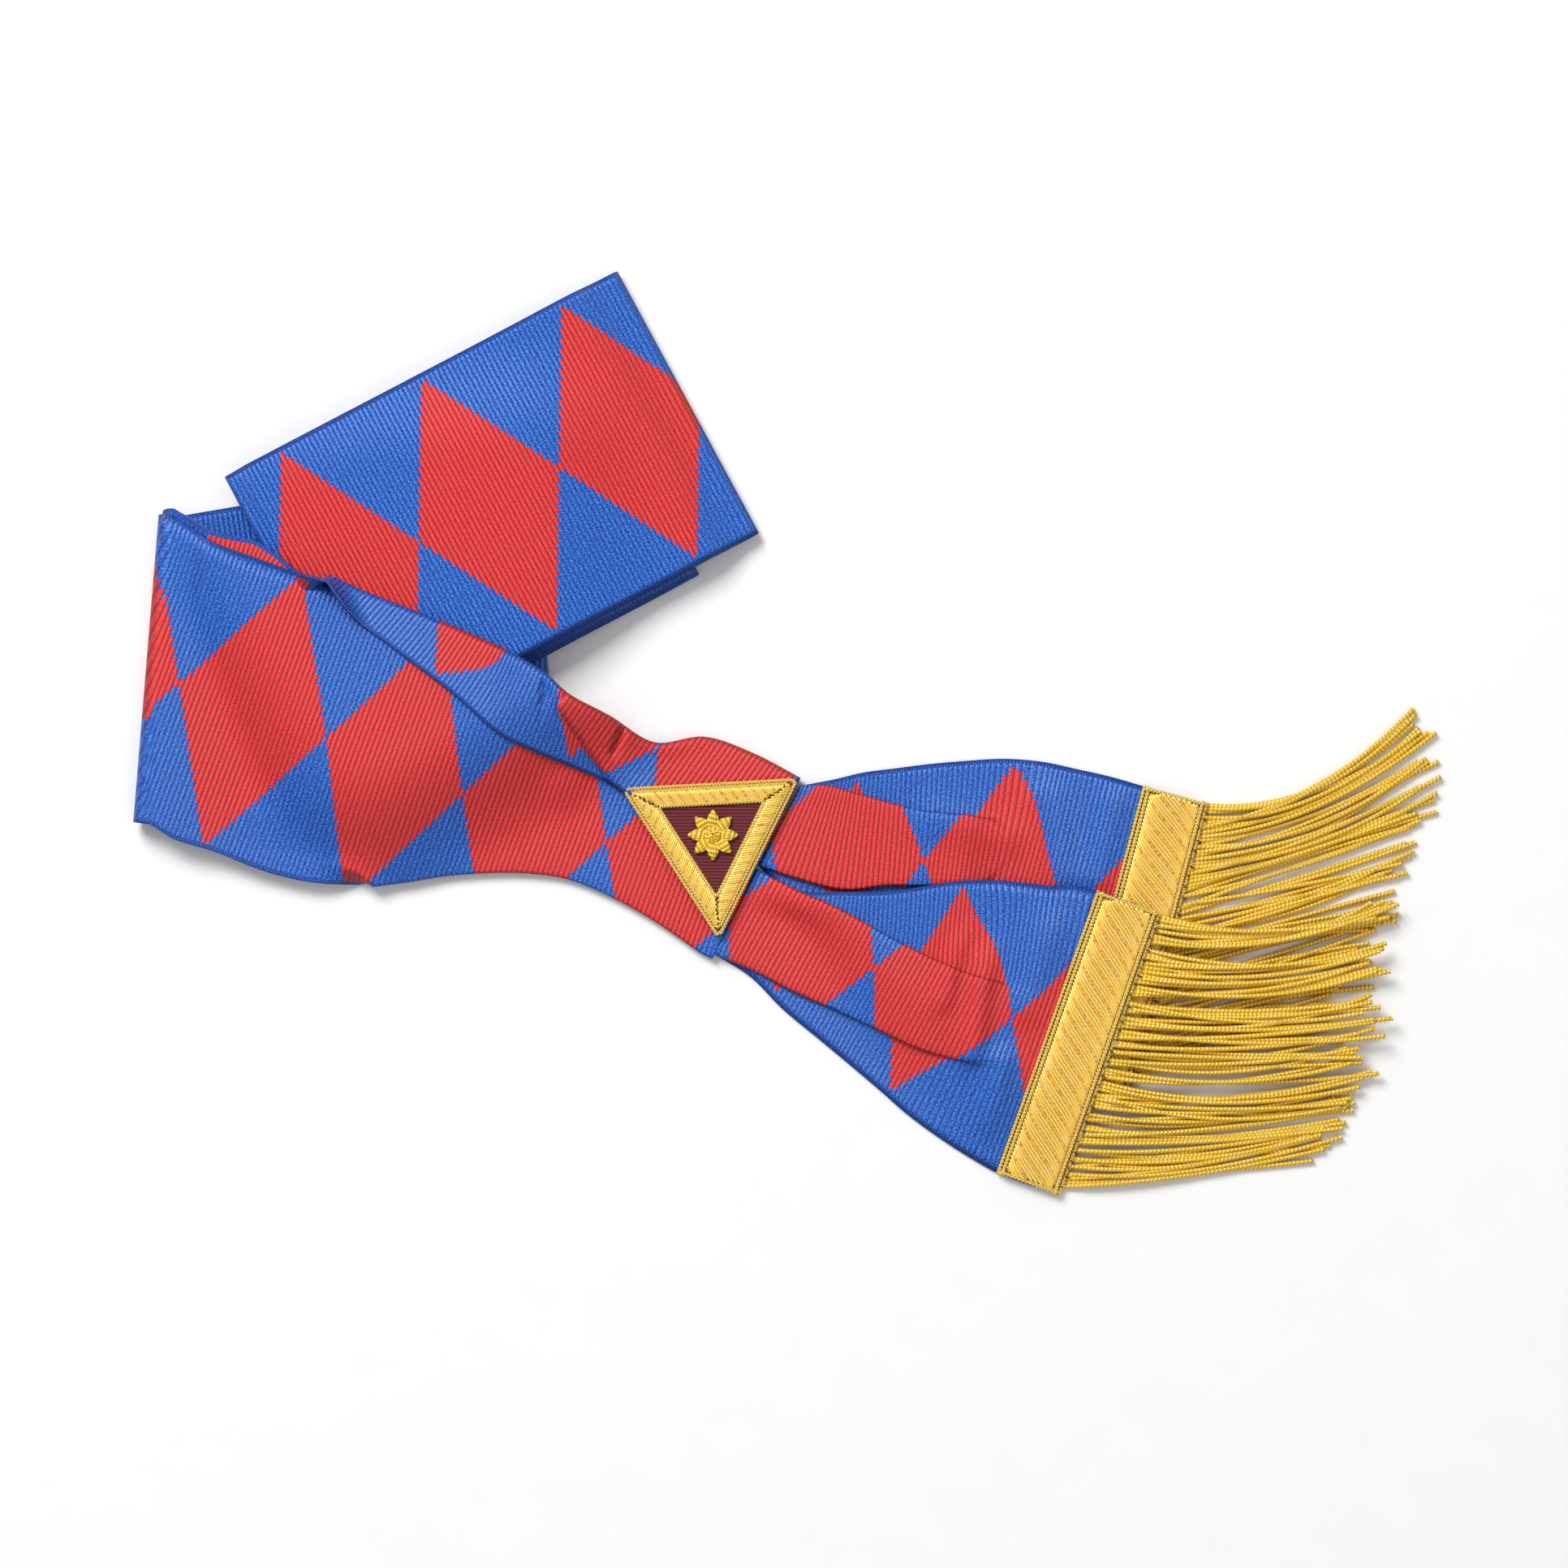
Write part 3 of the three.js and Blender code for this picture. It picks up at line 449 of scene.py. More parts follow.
roll_line = places_of(ROLL)
crease_ends = zip(CREASES["x"], CREASES["y"], CREASES["endX"], CREASES["endY"])
crease_lines = [(plan(x, y), plan(end_x, end_y)) for x, y, end_x, end_y in crease_ends]
PEEK = table(("row", "peek"), [
    (0, 0.022),
    (1, 0.033),
    (1.9, 0.057),
    (2.4, 0.038),
    (3, 0),
])


def smooth_line(rows, per_step):
    """Points of a smooth curve through a table's places, their directions and their arc lengths."""
    last = len(rows["x"]) - 1
    at = [row_at(rows, t) for t in np.linspace(0, last, last * per_step + 1)]
    points = np.array([plan(row["x"], row["y"]) for row in at])
    return points, units(np.gradient(points, axis=0)), arc_lengths(points)


flap_points, flap_ways, flap_places = smooth_line(FLAP_LINE, 24)
flap_counts = np.interp(np.arange(len(flap_points)) / 24, FLAP_COUNTS["point"], FLAP_COUNTS["count"])
ROLL_RIBS = (roll_line[3] - ROLL_JOINT) @ ROLL_WAY - flap_places[
    np.linalg.norm(flap_points - roll_line[3], axis=1).argmin()]


def arm_row(t, inner, counts):
    """One row across an arm, from its upper selvedge to its lower one."""
    row = row_at(ARMS, t)
    top, low = plan(row["topX"], row["topY"]), plan(row["lowX"], row["lowY"])
    if t < 1:
        top = lerp(on_fold(0, 0)[0], plan(ARMS["topX"][1], ARMS["topY"][1]), t)
        low = lerp(on_fold(0, RIBBON_WIDTH)[0], plan(ARMS["lowX"][1], ARMS["lowY"][1]), t)
    span = np.linalg.norm(low - top)
    across = (low - top) / span
    turn = math.radians(np.clip(row["flapTurn" if inner else "underTurn"], 0, 180))
    radius = (row["level"] + 1) / 2 * LAYER if inner else LAYER / 2
    bend = math.pi * radius
    lip = (row["flap"] if inner else row["under"]) * RIBBON_WIDTH
    wide = RIBBON_WIDTH - bend - lip
    chain = [(wide, 0), (bend, turn if inner else -turn), (lip, 0)]
    w = stations(chain, counts)
    u, z = walk(chain, w)
    past_wide = max(0, u[-1] - wide)
    peek = float(np.interp(t, PEEK["row"], PEEK["peek"])) * RIBBON_WIDTH if inner else 0
    start = past_wide - peek if inner else 0
    stop = span - LAYER * 2 if inner else span - past_wide
    squeeze = (stop - start) / wide
    pulled = np.where(w > wide, wide * squeeze + u - wide, u * squeeze)
    u = stop - pulled if inner else pulled
    p = top + u[:, None] * across
    lift = max(row["lift"], 0) * LAYER
    ground = np.maximum(arm_support(p), lift)
    if t < 1:
        ground = lerp(lift, ground, t)
    z = np.maximum((0 if inner else row["level"] * LAYER) + z + HALF_WALL + ground, HALF_WALL)
    if not inner:
        at = (p - TIPS_START) @ TIPS_WAY
        tips = TIPS["at"] * RIBBON_WIDTH
        count = np.interp(at, tips, TIPS["count"])
        below = np.interp(at, tips, TIPS["below"]) * RIBBON_WIDTH
        below = (p - TIPS_START) @ TIPS_SIDE - below
        return cloth_row(p, z, -at, w, -count * LOZENGE, RIBBON_WIDTH / 2 + below)
    near = np.linalg.norm(flap_points - p[-1], axis=1).argmin()
    at = (p - flap_points[near]) @ flap_ways[near]
    count = flap_counts[near] * LOZENGE + at
    from_top = RIBBON_WIDTH - w
    moved = from_top + np.interp(t, FLAP_SHIFT["row"], FLAP_SHIFT["shift"]) * RIBBON_WIDTH
    rib = -flap_places[near] - at
    if t > ROLL_FROM:
        past = beside(roll_line, p)
        rolled = ease(past / ROLL_EDGE + 0.5)
        to_joint = p - ROLL_JOINT
        side = np.array([ROLL_WAY[1], -ROLL_WAY[0]])
        there = np.interp(to_joint @ ROLL_WAY, ROLL_COUNTS["at"] * RIBBON_WIDTH, ROLL_COUNTS["count"])
        count = lerp(count, there * LOZENGE, rolled)
        moved = lerp(moved, RIBBON_WIDTH / 2 - to_joint @ side, rolled)
        rib = lerp(rib, ROLL_RIBS - to_joint @ ROLL_WAY, rolled)
        flap = ease((w - wide) / bend)
        z = z + flap * ROLL_RISE * rolled * (1 - ease((past - ROLL_FLAT) / ROLL_FADE))
        for line, depth, reach in zip(crease_lines, CREASES["depth"], CREASES["wide"]):
            z = z - flap * depth * np.exp(-(beside(line, p) / reach) ** 2)
        z = np.maximum(z, HALF_WALL)
    return cloth_row(p, z, rib, from_top, -count, moved)[::-1]


def turned(high, low, out, turns):
    """Rows of a half turn between two rows that lie one over the other."""
    rows = []
    for i in range(1, turns):
        turn = math.pi * i / turns
        row = lerp(high, low, turn / math.pi)
        row[:, :3] = lerp(low[:, :3], high[:, :3], (1 + math.cos(turn)) / 2)
        radius = np.abs(high[:, 2] - low[:, 2]) / 2
        row[:, :2] += out * (radius * math.sin(turn))[:, None]
        rows.append(row)
    return rows


def mean_of(row, column):
    return float(np.mean(row[:, column]))


def half_loop(outer, counts, steps, end_count):
    """Rows of one strip from the join to the loop's far end."""
    last = len(ARMS["topX"]) - 1
    stretches = ((last, ROLL_UNTIL, 17), (ROLL_UNTIL, ROLL_FROM, 97), (ROLL_FROM, 0, 73))
    places = [t for a, b, count in stretches for t in np.linspace(a, b, count)[0 if a == last else 1:]]
    rows = [arm_row(t, not outer, counts) for t in places]
    rows[0][:, :2] += units((rows[0] - rows[1])[:, :2]) * JOIN_REACH
    even = np.linspace(0, RIBBON_WIDTH, len(rows[0]))
    stack, starts = stack_rows(outer, even, steps)
    high = rows[-1]
    step = high - stack[0]
    round_fold = math.pi * mean_of(step, 2) / 2
    rib_start = mean_of(step, 3) + round_fold
    along_start = mean_of(step, 5) + round_fold
    if outer:
        meeting = starts[5] + float((plan(-1.213, 0.611) - centre[5]) @ unit(centre[6] - centre[5]))
        wanted = 0.0
    else:
        meeting, wanted = mean_of(stack[-1], 5), -end_count
    there = (meeting + along_start) / LOZENGE - wanted
    shift_by = (round(there) - there) * LOZENGE
    first, second = (0.2, 0.8) if outer else (0, 0.2)
    shifts = [starts[1] * first, starts[1] * second, starts[4]], [0, 0.4 * LOZENGE, shift_by]
    for row in stack:
        row[:, 5] += along_start + np.interp(row[:, 5], *shifts)
        row[:, 3] += rib_start
    return rows + turned(high, stack[0], fold_out[0], 14) + stack


def loop_grid():
    """All rows of the loop, from the outer arm's join round to the inner arm's join."""
    counts, steps = (16, 8, 14), (12, 8, 8, 10, 20, 60)
    outer = half_loop(True, counts, steps, 0)
    round_end = math.pi * LAYER / 2
    end = mean_of(outer[-1], 5) + round_end
    inner = half_loop(False, counts, steps, end / LOZENGE)
    for column, there in ((3, mean_of(outer[-1], 3) + round_end), (5, end)):
        move = there + mean_of(inner[-1], column)
        if column == 5:
            move = round(move / LOZENGE) * LOZENGE
        for row in inner:
            row[:, column] = move - row[:, column]
    return np.array(outer + turned(outer[-1], inner[-1], fold_out[-1], 8) + inner[::-1])


# The pleated tails

def tail_frame(rows, t):
    """One row of a tail: where it starts, its way across and the widths of its pleats."""
    row = row_at(rows, t)
    top, low = plan(row["topX"], row["topY"]), plan(row["lowX"], row["lowY"])
    front = np.linalg.norm(low - top)
    across = (low - top) / front
    above, below = (max(row[side], 0) * RIBBON_WIDTH for side in ("above", "below"))
    tuck = max(0.00002, (RIBBON_WIDTH - front - above - below) / 4)
    return {"row": row, "start": top - across * above, "across": across, "front": front,
            "above": above, "below": below, "tuck": tuck, "span": front + above + below}


def tail_section(f, counts):
    """Arc lengths, places across and heights of one row of a box pleat that opens as its tuck ends."""
    bend = math.pi * LAYER / 2
    tuck = max(f["tuck"], bend * 1.2)
    front = RIBBON_WIDTH - f["above"] - f["below"] - 4 * tuck
    chain = [(f["above"] + tuck - bend / 2, 0), (bend, math.pi), (tuck - bend, 0), (bend, -math.pi),
             (front - bend, 0), (bend, -math.pi), (tuck - bend, 0), (bend, math.pi),
             (f["below"] + tuck - bend / 2, 0)]
    w = stations(chain, counts)
    u, z = walk(chain, w)
    closed = ease(f["tuck"] / (bend * 2.6))
    return w, lerp(w / w[-1], u / u[-1], closed) * f["span"], z * closed


def tail_ground(f, u):
    """Height of what the tail lies on."""
    row = f["row"]
    share = (u / f["span"] - row["dropFrom"]) / (row["dropTo"] - row["dropFrom"])
    return row["high"] * LAYER * (1 - ease(share))


LEAN_COLUMNS = ("row", "lean")
UPPER_LEAN = table(LEAN_COLUMNS, [(2, 0), (4, 0.05), (7, 0.05), (10, 0)])
LOWER_LEAN = table(LEAN_COLUMNS, [(1, 0), (2.5, 0.45), (4.8, 0.45), (9.5, 0)])
SWELL_COLUMNS = ("x", "y", "endX", "endY", "high", "wide")
UPPER_SWELLS = table(SWELL_COLUMNS, [
    (0.877, -0.231, 0.925, -0.475, 0.0017, 0.0060),
    (1.099, -0.244, 1.039, -0.488, 0.0014, 0.0050),
    (0.497, -0.299, 0.741, -0.366, 0.0014, 0.0060),
])
LOWER_SWELLS = table(SWELL_COLUMNS, [
    (0.578, -0.719, 0.524, -0.909, 0.0016, 0.0035),
    (0.670, -0.773, 0.621, -1.085, 0.0024, 0.0045),
    (0.877, -0.678, 0.801, -0.923, 0.0018, 0.0070),
    (0.719, -1.113, 0.673, -1.303, 0.0018, 0.0050),
])


def tail_grid(rows, per_row, tips, lean, swells):
    """Rows of a tail from the join to its end; tips are plan places where two lozenges meet."""
    last = len(rows["topX"]) - 1
    counts = (8, 7, 4, 7, 12, 7, 4, 7, 8)
    out, middles, backbone = [], [], []
    for t in np.linspace(0, last, last * per_row + 1):
        f = tail_frame(rows, t)
        w, u, z = tail_section(f, counts)
        p = f["start"] + u[:, None] * f["across"]
        z = z + HALF_WALL + tail_ground(f, u)
        for x, y, end_x, end_y, high, wide in zip(*swells.values()):
            z = z + high * np.exp(-(beside([plan(x, y), plan(end_x, end_y)], p) / wide) ** 2)
        leaning = np.interp(t, lean["row"], lean["lean"]) * np.maximum(0, f["above"] - w)
        out.append(cloth_row(p, z, leaning, w, leaning))
        middles.append(f["start"] + f["across"] * f["span"] / 2)
        backbone.append([np.interp(RIBBON_WIDTH / 2, w, p[:, i]) for i in (0, 1)])
    s = arc_lengths(middles)
    places = [s[np.linalg.norm(np.array(backbone) - tip, axis=1).argmin()] for tip in tips]
    counts = np.arange(len(tips)) * LOZENGE
    along = np.interp(s, [places[0] - 0.3, *places, places[-1] + 0.3], [-0.3, *counts, counts[-1] + 0.3])
    for row, rib, place in zip(out, s, along):
        row[:, 3] += rib
        row[:, 5] += place
    return np.array(out)


class TailEnd:
    """The line of a tail's last row, with the base height along it and the way out."""

    def __init__(self, rows):
        self.f = tail_frame(rows, len(rows["topX"]) - 1)
        a = self.f["across"]
        self.across = a
        self.out = np.array([-a[1], a[0]])
        self.inset = 0.0004
        self.length = self.f["span"] - 2 * self.inset

    def place(self, share, reach):
        return self.f["start"] + self.across * (self.inset + self.length * share) + self.out * reach

    def share_of(self, p):
        return ((p - self.f["start"]) @ self.across - self.inset) / self.length

    def ground(self, share):
        return float(tail_ground(self.f, self.inset + self.length * share))


# Meshes

def mesh_piece(name, points, faces, smooth=True, **places):
    """A mesh with one layer of places for each named pair of numbers per point."""
    mesh = bpy.data.meshes.new(name)
    mesh.from_pydata([tuple(p) for p in points], [], faces)
    loops = np.empty(len(mesh.loops), np.int32)
    mesh.loops.foreach_get("vertex_index", loops)
    for key, values in places.items():
        layer = mesh.uv_layers.new(name=key)
        layer.data.foreach_set("uv", np.asarray(values, np.float32)[loops].ravel())
    mesh.polygons.foreach_set("use_smooth", np.full(len(mesh.polygons), smooth))
    mesh.validate()
    mesh.update()
    piece = bpy.data.objects.new(name, mesh)
    bpy.context.collection.objects.link(piece)
    return piece


def grid_faces(rows, cols, start=0, flip=False):
    i, j = np.meshgrid(np.arange(rows - 1), np.arange(cols - 1), indexing="ij")
    a = (start + i * cols + j).ravel()
    quads = np.column_stack([a, a + cols, a + cols + 1, a + 1])
    return quads[:, ::-1] if flip else quads


def closed_piece(name, upper, under, **places):
    """A closed piece between two grids of points."""
    rows, cols = upper.shape[:2]
    half = rows * cols
    points = np.concatenate([upper.reshape(-1, 3), under.reshape(-1, 3)]) + shift
    faces = [grid_faces(rows, cols), grid_faces(rows, cols, half, True)]
    first, left = np.arange(cols), np.arange(rows) * cols
    for line, flip in ((left, False), (left + cols - 1, True), (first, True), (first + half - cols, False)):
        rim = np.column_stack([line[:-1], line[:-1] + half, line[1:] + half, line[1:]])
        faces.append(rim[:, ::-1] if flip else rim)
    places = places or {"weave": points[:, :2]}
    return mesh_piece(name, points, np.concatenate(faces).tolist(), **places)


def cloth_piece(name, cloth):
    """A closed cloth of even wall round the rows of its middle points."""
    grid = cloth[:, :, :3]
    way, side = (units(np.gradient(grid, axis=axis)) for axis in (0, 1))
    reach = units(np.cross(way, side)) * HALF_WALL
    rib, weave = (np.tile(cloth[:, :, i:i + 2].reshape(-1, 2), (2, 1)) for i in (3, 5))
    return closed_piece(name, grid + reach, grid - reach, rib=rib, weave=weave)


def path_sides(path):
    """The level direction across a path at each point, and the direction square to both."""
    way = units(np.gradient(path, axis=0))
    side = units(np.cross(way, (0, 0, 1)))
    return side, np.cross(side, way)


def strands(name, paths, radius, sides=6, ridge=0.0, pitch=0.001):
    """Round strands with flat ends; ridge swells each along a screw line of the given pitch."""
    points, faces, places, start = [], [], [], 0
    angles = 2 * math.pi * np.arange(sides) / sides - math.pi / 2
    for n, path in enumerate(paths):
        count = len(path)
        side, up = path_sides(path)
        s = arc_lengths(path)
        r = radius * (1 + ridge * np.cos(angles[None, :] - 2 * math.pi * s[:, None] / pitch + n))
        ring = (path[:, None, :] + (r * np.cos(angles))[:, :, None] * side[:, None, :]
                + (r * np.sin(angles))[:, :, None] * up[:, None, :])
        points.append(ring.reshape(-1, 3))
        along = s - n * pitch / (2 * math.pi)
        places.append(np.column_stack([np.repeat(along, sides), np.tile(angles, count)]))
        i, j = np.meshgrid(np.arange(count - 1), np.arange(sides), indexing="ij")
        a = start + i * sides + j
        b = start + i * sides + (j + 1) % sides
        faces += np.column_stack([a.ravel(), b.ravel(), (b + sides).ravel(), (a + sides).ravel()]).tolist()
        faces.append(list(range(start, start + sides))[::-1])
        faces.append(list(range(start + (count - 1) * sides, start + count * sides)))
        start += count * sides
    return mesh_piece(name, np.concatenate(points) + shift, faces, weave=np.concatenate(places))


def resample(path, step):
    """The path with points at even steps."""
    path = np.asarray(path, float)
    s = arc_lengths(path)
    count = max(4, int(math.ceil(s[-1] / step)) + 1)
    t = np.linspace(0, s[-1], count)
    return np.column_stack([np.interp(t, s, path[:, i]) for i in range(3)])


def twisted(path, plies, reach, pitch, step):
    """Paths of the plies that twist round one path."""
    path = resample(path, step)
    side, up = path_sides(path)
    s = arc_lengths(path)
    out = []
    for k in range(plies):
        angle = 2 * math.pi * (s / pitch + k / plies)
        out.append(path + reach * (np.cos(angle)[:, None] * side + np.sin(angle)[:, None] * up))
    return out


# Finishes

class Field:
    """A shader value; an expression on values adds its Math nodes."""

    def __init__(self, make, socket):
        self.make = make
        self.socket = socket

    def _math(self, operation, *values):
        return self.make.node("ShaderNodeMath", {"operation": operation}, values)

    def __add__(self, other):
        return self._math("ADD", self, other)

    def __sub__(self, other):
        return self._math("SUBTRACT", self, other)

    def __rsub__(self, other):
        return self._math("SUBTRACT", other, self)

    def __mul__(self, other):
        return self._math("MULTIPLY", self, other)

    def __truediv__(self, other):
        return self._math("DIVIDE", self, other)

    def __rtruediv__(self, other):
        return self._math("DIVIDE", other, self)

    __radd__ = __add__
    __rmul__ = __mul__

    def __abs__(self):
        return self._math("ABSOLUTE", self)

    def floor(self):
        return self._math("FLOOR", self)

    def fract(self):
        return self._math("FRACT", self)

    def sine(self):
        return self._math("SINE", self)

    def rise(self, low, high):
        """0 below low, 1 above high and smooth between them."""
        return self.make.node("ShaderNodeMapRange", {"interpolation_type": "SMOOTHSTEP"},
                              {"Value": self, "From Min": low, "From Max": high})


class Finish:
    """A material with one Principled shader."""

    def __init__(self, name, **plain):
        self.material = bpy.data.materials.new(name)
        self.material.use_nodes = True
        self.tree = self.material.node_tree
        self.shader = self.tree.nodes["Principled BSDF"]
        for key, value in plain.items():
            self.shader.inputs[key.replace("_", " ")].default_value = value

    def node(self, kind, settings=None, values=None, out=0):
        made = self.tree.nodes.new(kind)
        for key, value in (settings or {}).items():
            setattr(made, key, value)
        pairs = values.items() if isinstance(values, dict) else enumerate(values or ())
        for key, value in pairs:
            if isinstance(value, Field):
                self.tree.links.new(value.socket, made.inputs[key])
            else:
                made.inputs[key].default_value = value
        return Field(self, made.outputs[out])

    def mix(self, share, a, b, mode="MIX"):
        """A colour between a and b; plain colours are (r, g, b)."""
        plain = [x if isinstance(x, Field) else (*x, 1) for x in (a, b)]
        return self.node("ShaderNodeMix", {"data_type": "RGBA", "blend_type": mode},
                         {0: share, 6: plain[0], 7: plain[1]}, out=2)

    def weave(self, layer="weave"):
        """The place along and across a piece, in metres."""
        uv = self.node("ShaderNodeUVMap", {"uv_map": layer})
        return [self.node("ShaderNodeSeparateXYZ", None, [uv], out=i) for i in (0, 1)]

    def point(self, x, y):
        return self.node("ShaderNodeCombineXYZ", None, [x, y])

    def place(self):
        return self.node("ShaderNodeTexCoord", out=3)

    def noise(self, vector, scale, detail):
        return self.node("ShaderNodeTexNoise", None, {"Vector": vector, "Scale": scale, "Detail": detail})

    def relief(self, height, depth):
        bump = self.node("ShaderNodeBump", None, {"Strength": 1, "Distance": depth, "Height": height})
        self.tree.links.new(bump.socket, self.shader.inputs["Normal"])

    def feed(self, **values):
        for key, value in values.items():
            self.tree.links.new(value.socket, self.shader.inputs[key.replace("_", " ")])
        return self

    def dress(self, piece):
        piece.data.materials.clear()
        piece.data.materials.append(self.material)


def fit(piece, finish, node=None):
    """Dresses a piece, rides it on the one body and hides the part it replaces."""
    finish.dress(piece)
    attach(piece, "root")
    if node:
        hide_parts(node)


def ribbon_finish(name):
    """Ribbed ribbon with red lozenges on blue and a narrow blue selvedge."""
    f = Finish(name, Specular_IOR_Level=0.45)
    along, across = f.weave()
    rib, w = f.weave("rib")
    stepped = ((along / RIB).floor() + 0.5) * RIB
    tooth = abs((stepped / LOZENGE).fract() - 0.5) * 2
    inside = 1 - tooth - abs(across - RIBBON_WIDTH / 2) / LOZENGE_REACH
    edge = abs(w - RIBBON_WIDTH / 2).rise(RIBBON_WIDTH / 2 - 0.0017, RIBBON_WIDTH / 2 - 0.0015)
    red = inside.rise(-0.004, 0.004) * (1 - edge)
    rim = red * (1 - inside.rise(0.006, 0.014))
    cord = abs((rib * (math.pi / RIB)).sine())
    fine = abs((rib * (2 * math.pi / RIB)).sine())
    ridge = cord + (fine - cord) * edge
    thread = f.noise(f.point(rib * 1300, w * 2300), 1.0, 1.0)
    lustre = f.noise(f.point(rib * 24, w * 14), 1.0, 2.0)
    # Fine thread noise: random thread tone, and its light flecks are painted satin glints.
    blue = f.mix(thread.rise(0.40, 0.62), (0.003, 0.05, 0.34), (0.035, 0.21, 0.74))
    crimson = f.mix(thread.rise(0.3, 0.72), (0.55, 0.008, 0.012), (0.84, 0.05, 0.048))
    color = f.mix(red, blue, crimson)
    color = f.mix(rim * 0.35, color, (0.14, 0.01, 0.16))
    color = f.mix(edge * 0.5, color, (0.008, 0.055, 0.36))
    # Painted shade: the grooves between the ribs are darkened in the colour.
    groove_shade = 1 - ridge.rise(0.05, 0.72)
    color = f.mix(groove_shade * 0.8, color, (0.25, 0.22, 0.34), "MULTIPLY")
    # Painted shade: the colour darkens where the cloth slopes away from level, as satin falls off on its
    # folds.
    upright = f.node("ShaderNodeSeparateXYZ", None, [f.node("ShaderNodeTexCoord", out=1)], out=2)
    slope_shade = 1 - upright.rise(0.70, 0.985)
    color = f.mix(slope_shade * 0.6, color, (0.28, 0.27, 0.42), "MULTIPLY")
    f.feed(Base_Color=color, Roughness=lustre * 0.16 + thread * 0.12 + 0.3 + red * 0.14)
    f.relief(ridge + thread * 0.16, 0.00028)
    return f


def gold_finish(name, light, shade_tone, roughness, metallic, pitch=None, sparkle=0.0):
    """Gold thread; pitch winds a wire round each strand, with painted shade in the grooves between its turns,
    and sparkle breaks it into glints between painted dark flecks.
    """
    f = Finish(name, Specular_IOR_Level=0.5, Metallic=metallic)
    along, around = f.weave()
    cloud = f.noise(f.place(), 260, 2.0)
    spark = f.noise(f.place(), 1500, 1.0)
    height = spark * (0.15 + sparkle)
    color = f.mix(cloud.rise(0.35, 0.75) * 0.3, light, tuple(0.35 + 0.65 * c for c in light))
    if pitch:
        # Painted shade in the grooves between the wire's turns.
        wire = (along * (2 * math.pi / pitch) - around).sine()
        color = f.mix((1 - wire.rise(-0.8, 0.1)) * 0.75, color, shade_tone)
        height = height + wire
    # Dark flecks: random tone, and with sparkle also painted shade between the glints.
    color = f.mix((1 - spark.rise(0.34, 0.52)) * (0.25 + sparkle * 0.7), color, shade_tone)
    f.feed(Base_Color=color, Roughness=spark * 0.24 + (roughness - 0.12))
    f.relief(height, 0.00014)
    return f


# The badge's rings

badge_corners = places_of(BADGE)


def badge_ring(inset, up):
    """The badge's corners moved inwards by inset, at height up over its ground."""
    out = []
    for i, corner in enumerate(badge_corners):
        before = unit(corner - badge_corners[i - 1])
        after = unit(badge_corners[(i + 1) % len(badge_corners)] - corner)
        a, b = np.array([before[1], -before[0]]), np.array([after[1], -after[0]])
        mitre = (a + b) / (1 + a @ b)
        out.append(np.append(corner + mitre * inset, BADGE_GROUND + up))
    return np.array(out)


# Everything is shifted as one from the tables' zero to the frame's.

field_inset = CORD_WIDTH + BORDER_WIDTH + 2 * GAP
shift = np.array(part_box("badge_field")[0]) - badge_ring(field_inset, 0).min(axis=0)

rng = np.random.default_rng(7)

# Camera, floor and light

scene = bpy.context.scene
photo_middle = np.append(plan(-0.003, -0.179), 0.0) + shift
camera = bpy.data.objects.new("camera", bpy.data.cameras.new("camera"))
bpy.context.collection.objects.link(camera)
camera.location = (photo_middle[0], photo_middle[1] - CAMERA_HEIGHT * math.sin(CAMERA_TILT),
                   CAMERA_HEIGHT * math.cos(CAMERA_TILT))
camera.rotation_euler = (CAMERA_TILT, 0, 0)
camera.data.sensor_width = 36
camera.data.lens = 36 * CAMERA_HEIGHT / VIEW_WIDTH
camera.data.clip_start = 0.01
scene.camera = camera

floor = mesh_piece("floor", [(-3, -3, 0), (3, -3, 0), (3, 3, 0), (-3, 3, 0)], [(0, 1, 2, 3)], smooth=False)
paper = Finish("pale_floor", Roughness=0.75, Specular_IOR_Level=0.25)
grain = paper.noise(paper.place(), 60, 3.0)
paper.feed(Base_Color=paper.mix(grain, (0.83, 0.83, 0.83), (0.86, 0.86, 0.86)))
paper.dress(floor)


def lamp(name, place, size, power):
    """A square lamp that faces the frame's origin."""
    data = bpy.data.lights.new(name, "AREA")
    data.shape = "SQUARE"
    data.size = size
    data.energy = power
    lamp_object = bpy.data.objects.new(name, data)
    bpy.context.collection.objects.link(lamp_object)
    lamp_object.location = place
    x, y, z = place
    fall = math.acos(z / math.sqrt(x * x + y * y + z * z))
    lamp_object.rotation_euler = (0, -fall, math.atan2(-y, -x))


lamp("window", (-1.1, 1.5, 1.9), 1.2, 70)
lamp("fill", (0.9, -0.6, 1.4), 1.2, 3)
world = bpy.data.worlds.new("studio")
world.use_nodes = True
sky = world.node_tree.nodes["Background"]
sky.inputs["Color"].default_value = (1, 1, 1, 1)
sky.inputs["Strength"].default_value = 0.5
scene.world = world
scene.view_settings.view_transform = "Standard"

# Ribbon

loop_rows = loop_grid()
upper_rows = tail_grid(UPPER_TAIL, 12, [plan(0.472, -0.407), plan(0.963, -0.502)],
                       UPPER_LEAN, UPPER_SWELLS)
lower_rows = tail_grid(LOWER_TAIL, 12, [plan(0.280, -0.852), plan(0.746, -0.985)],
                       LOWER_LEAN, LOWER_SWELLS)
loop = cloth_piece("loop_ribbon_cloth", loop_rows)
upper = cloth_piece("upper_tail_cloth", upper_rows)
lower = cloth_piece("lower_tail_cloth", lower_rows)
ribbon = ribbon_finish("lozenge_ribbon")
for piece, node in ((loop, "loop_ribbon"), (upper, "upper_tail"), (lower, "lower_tail")):
    fit(piece, ribbon, node)

# Bands

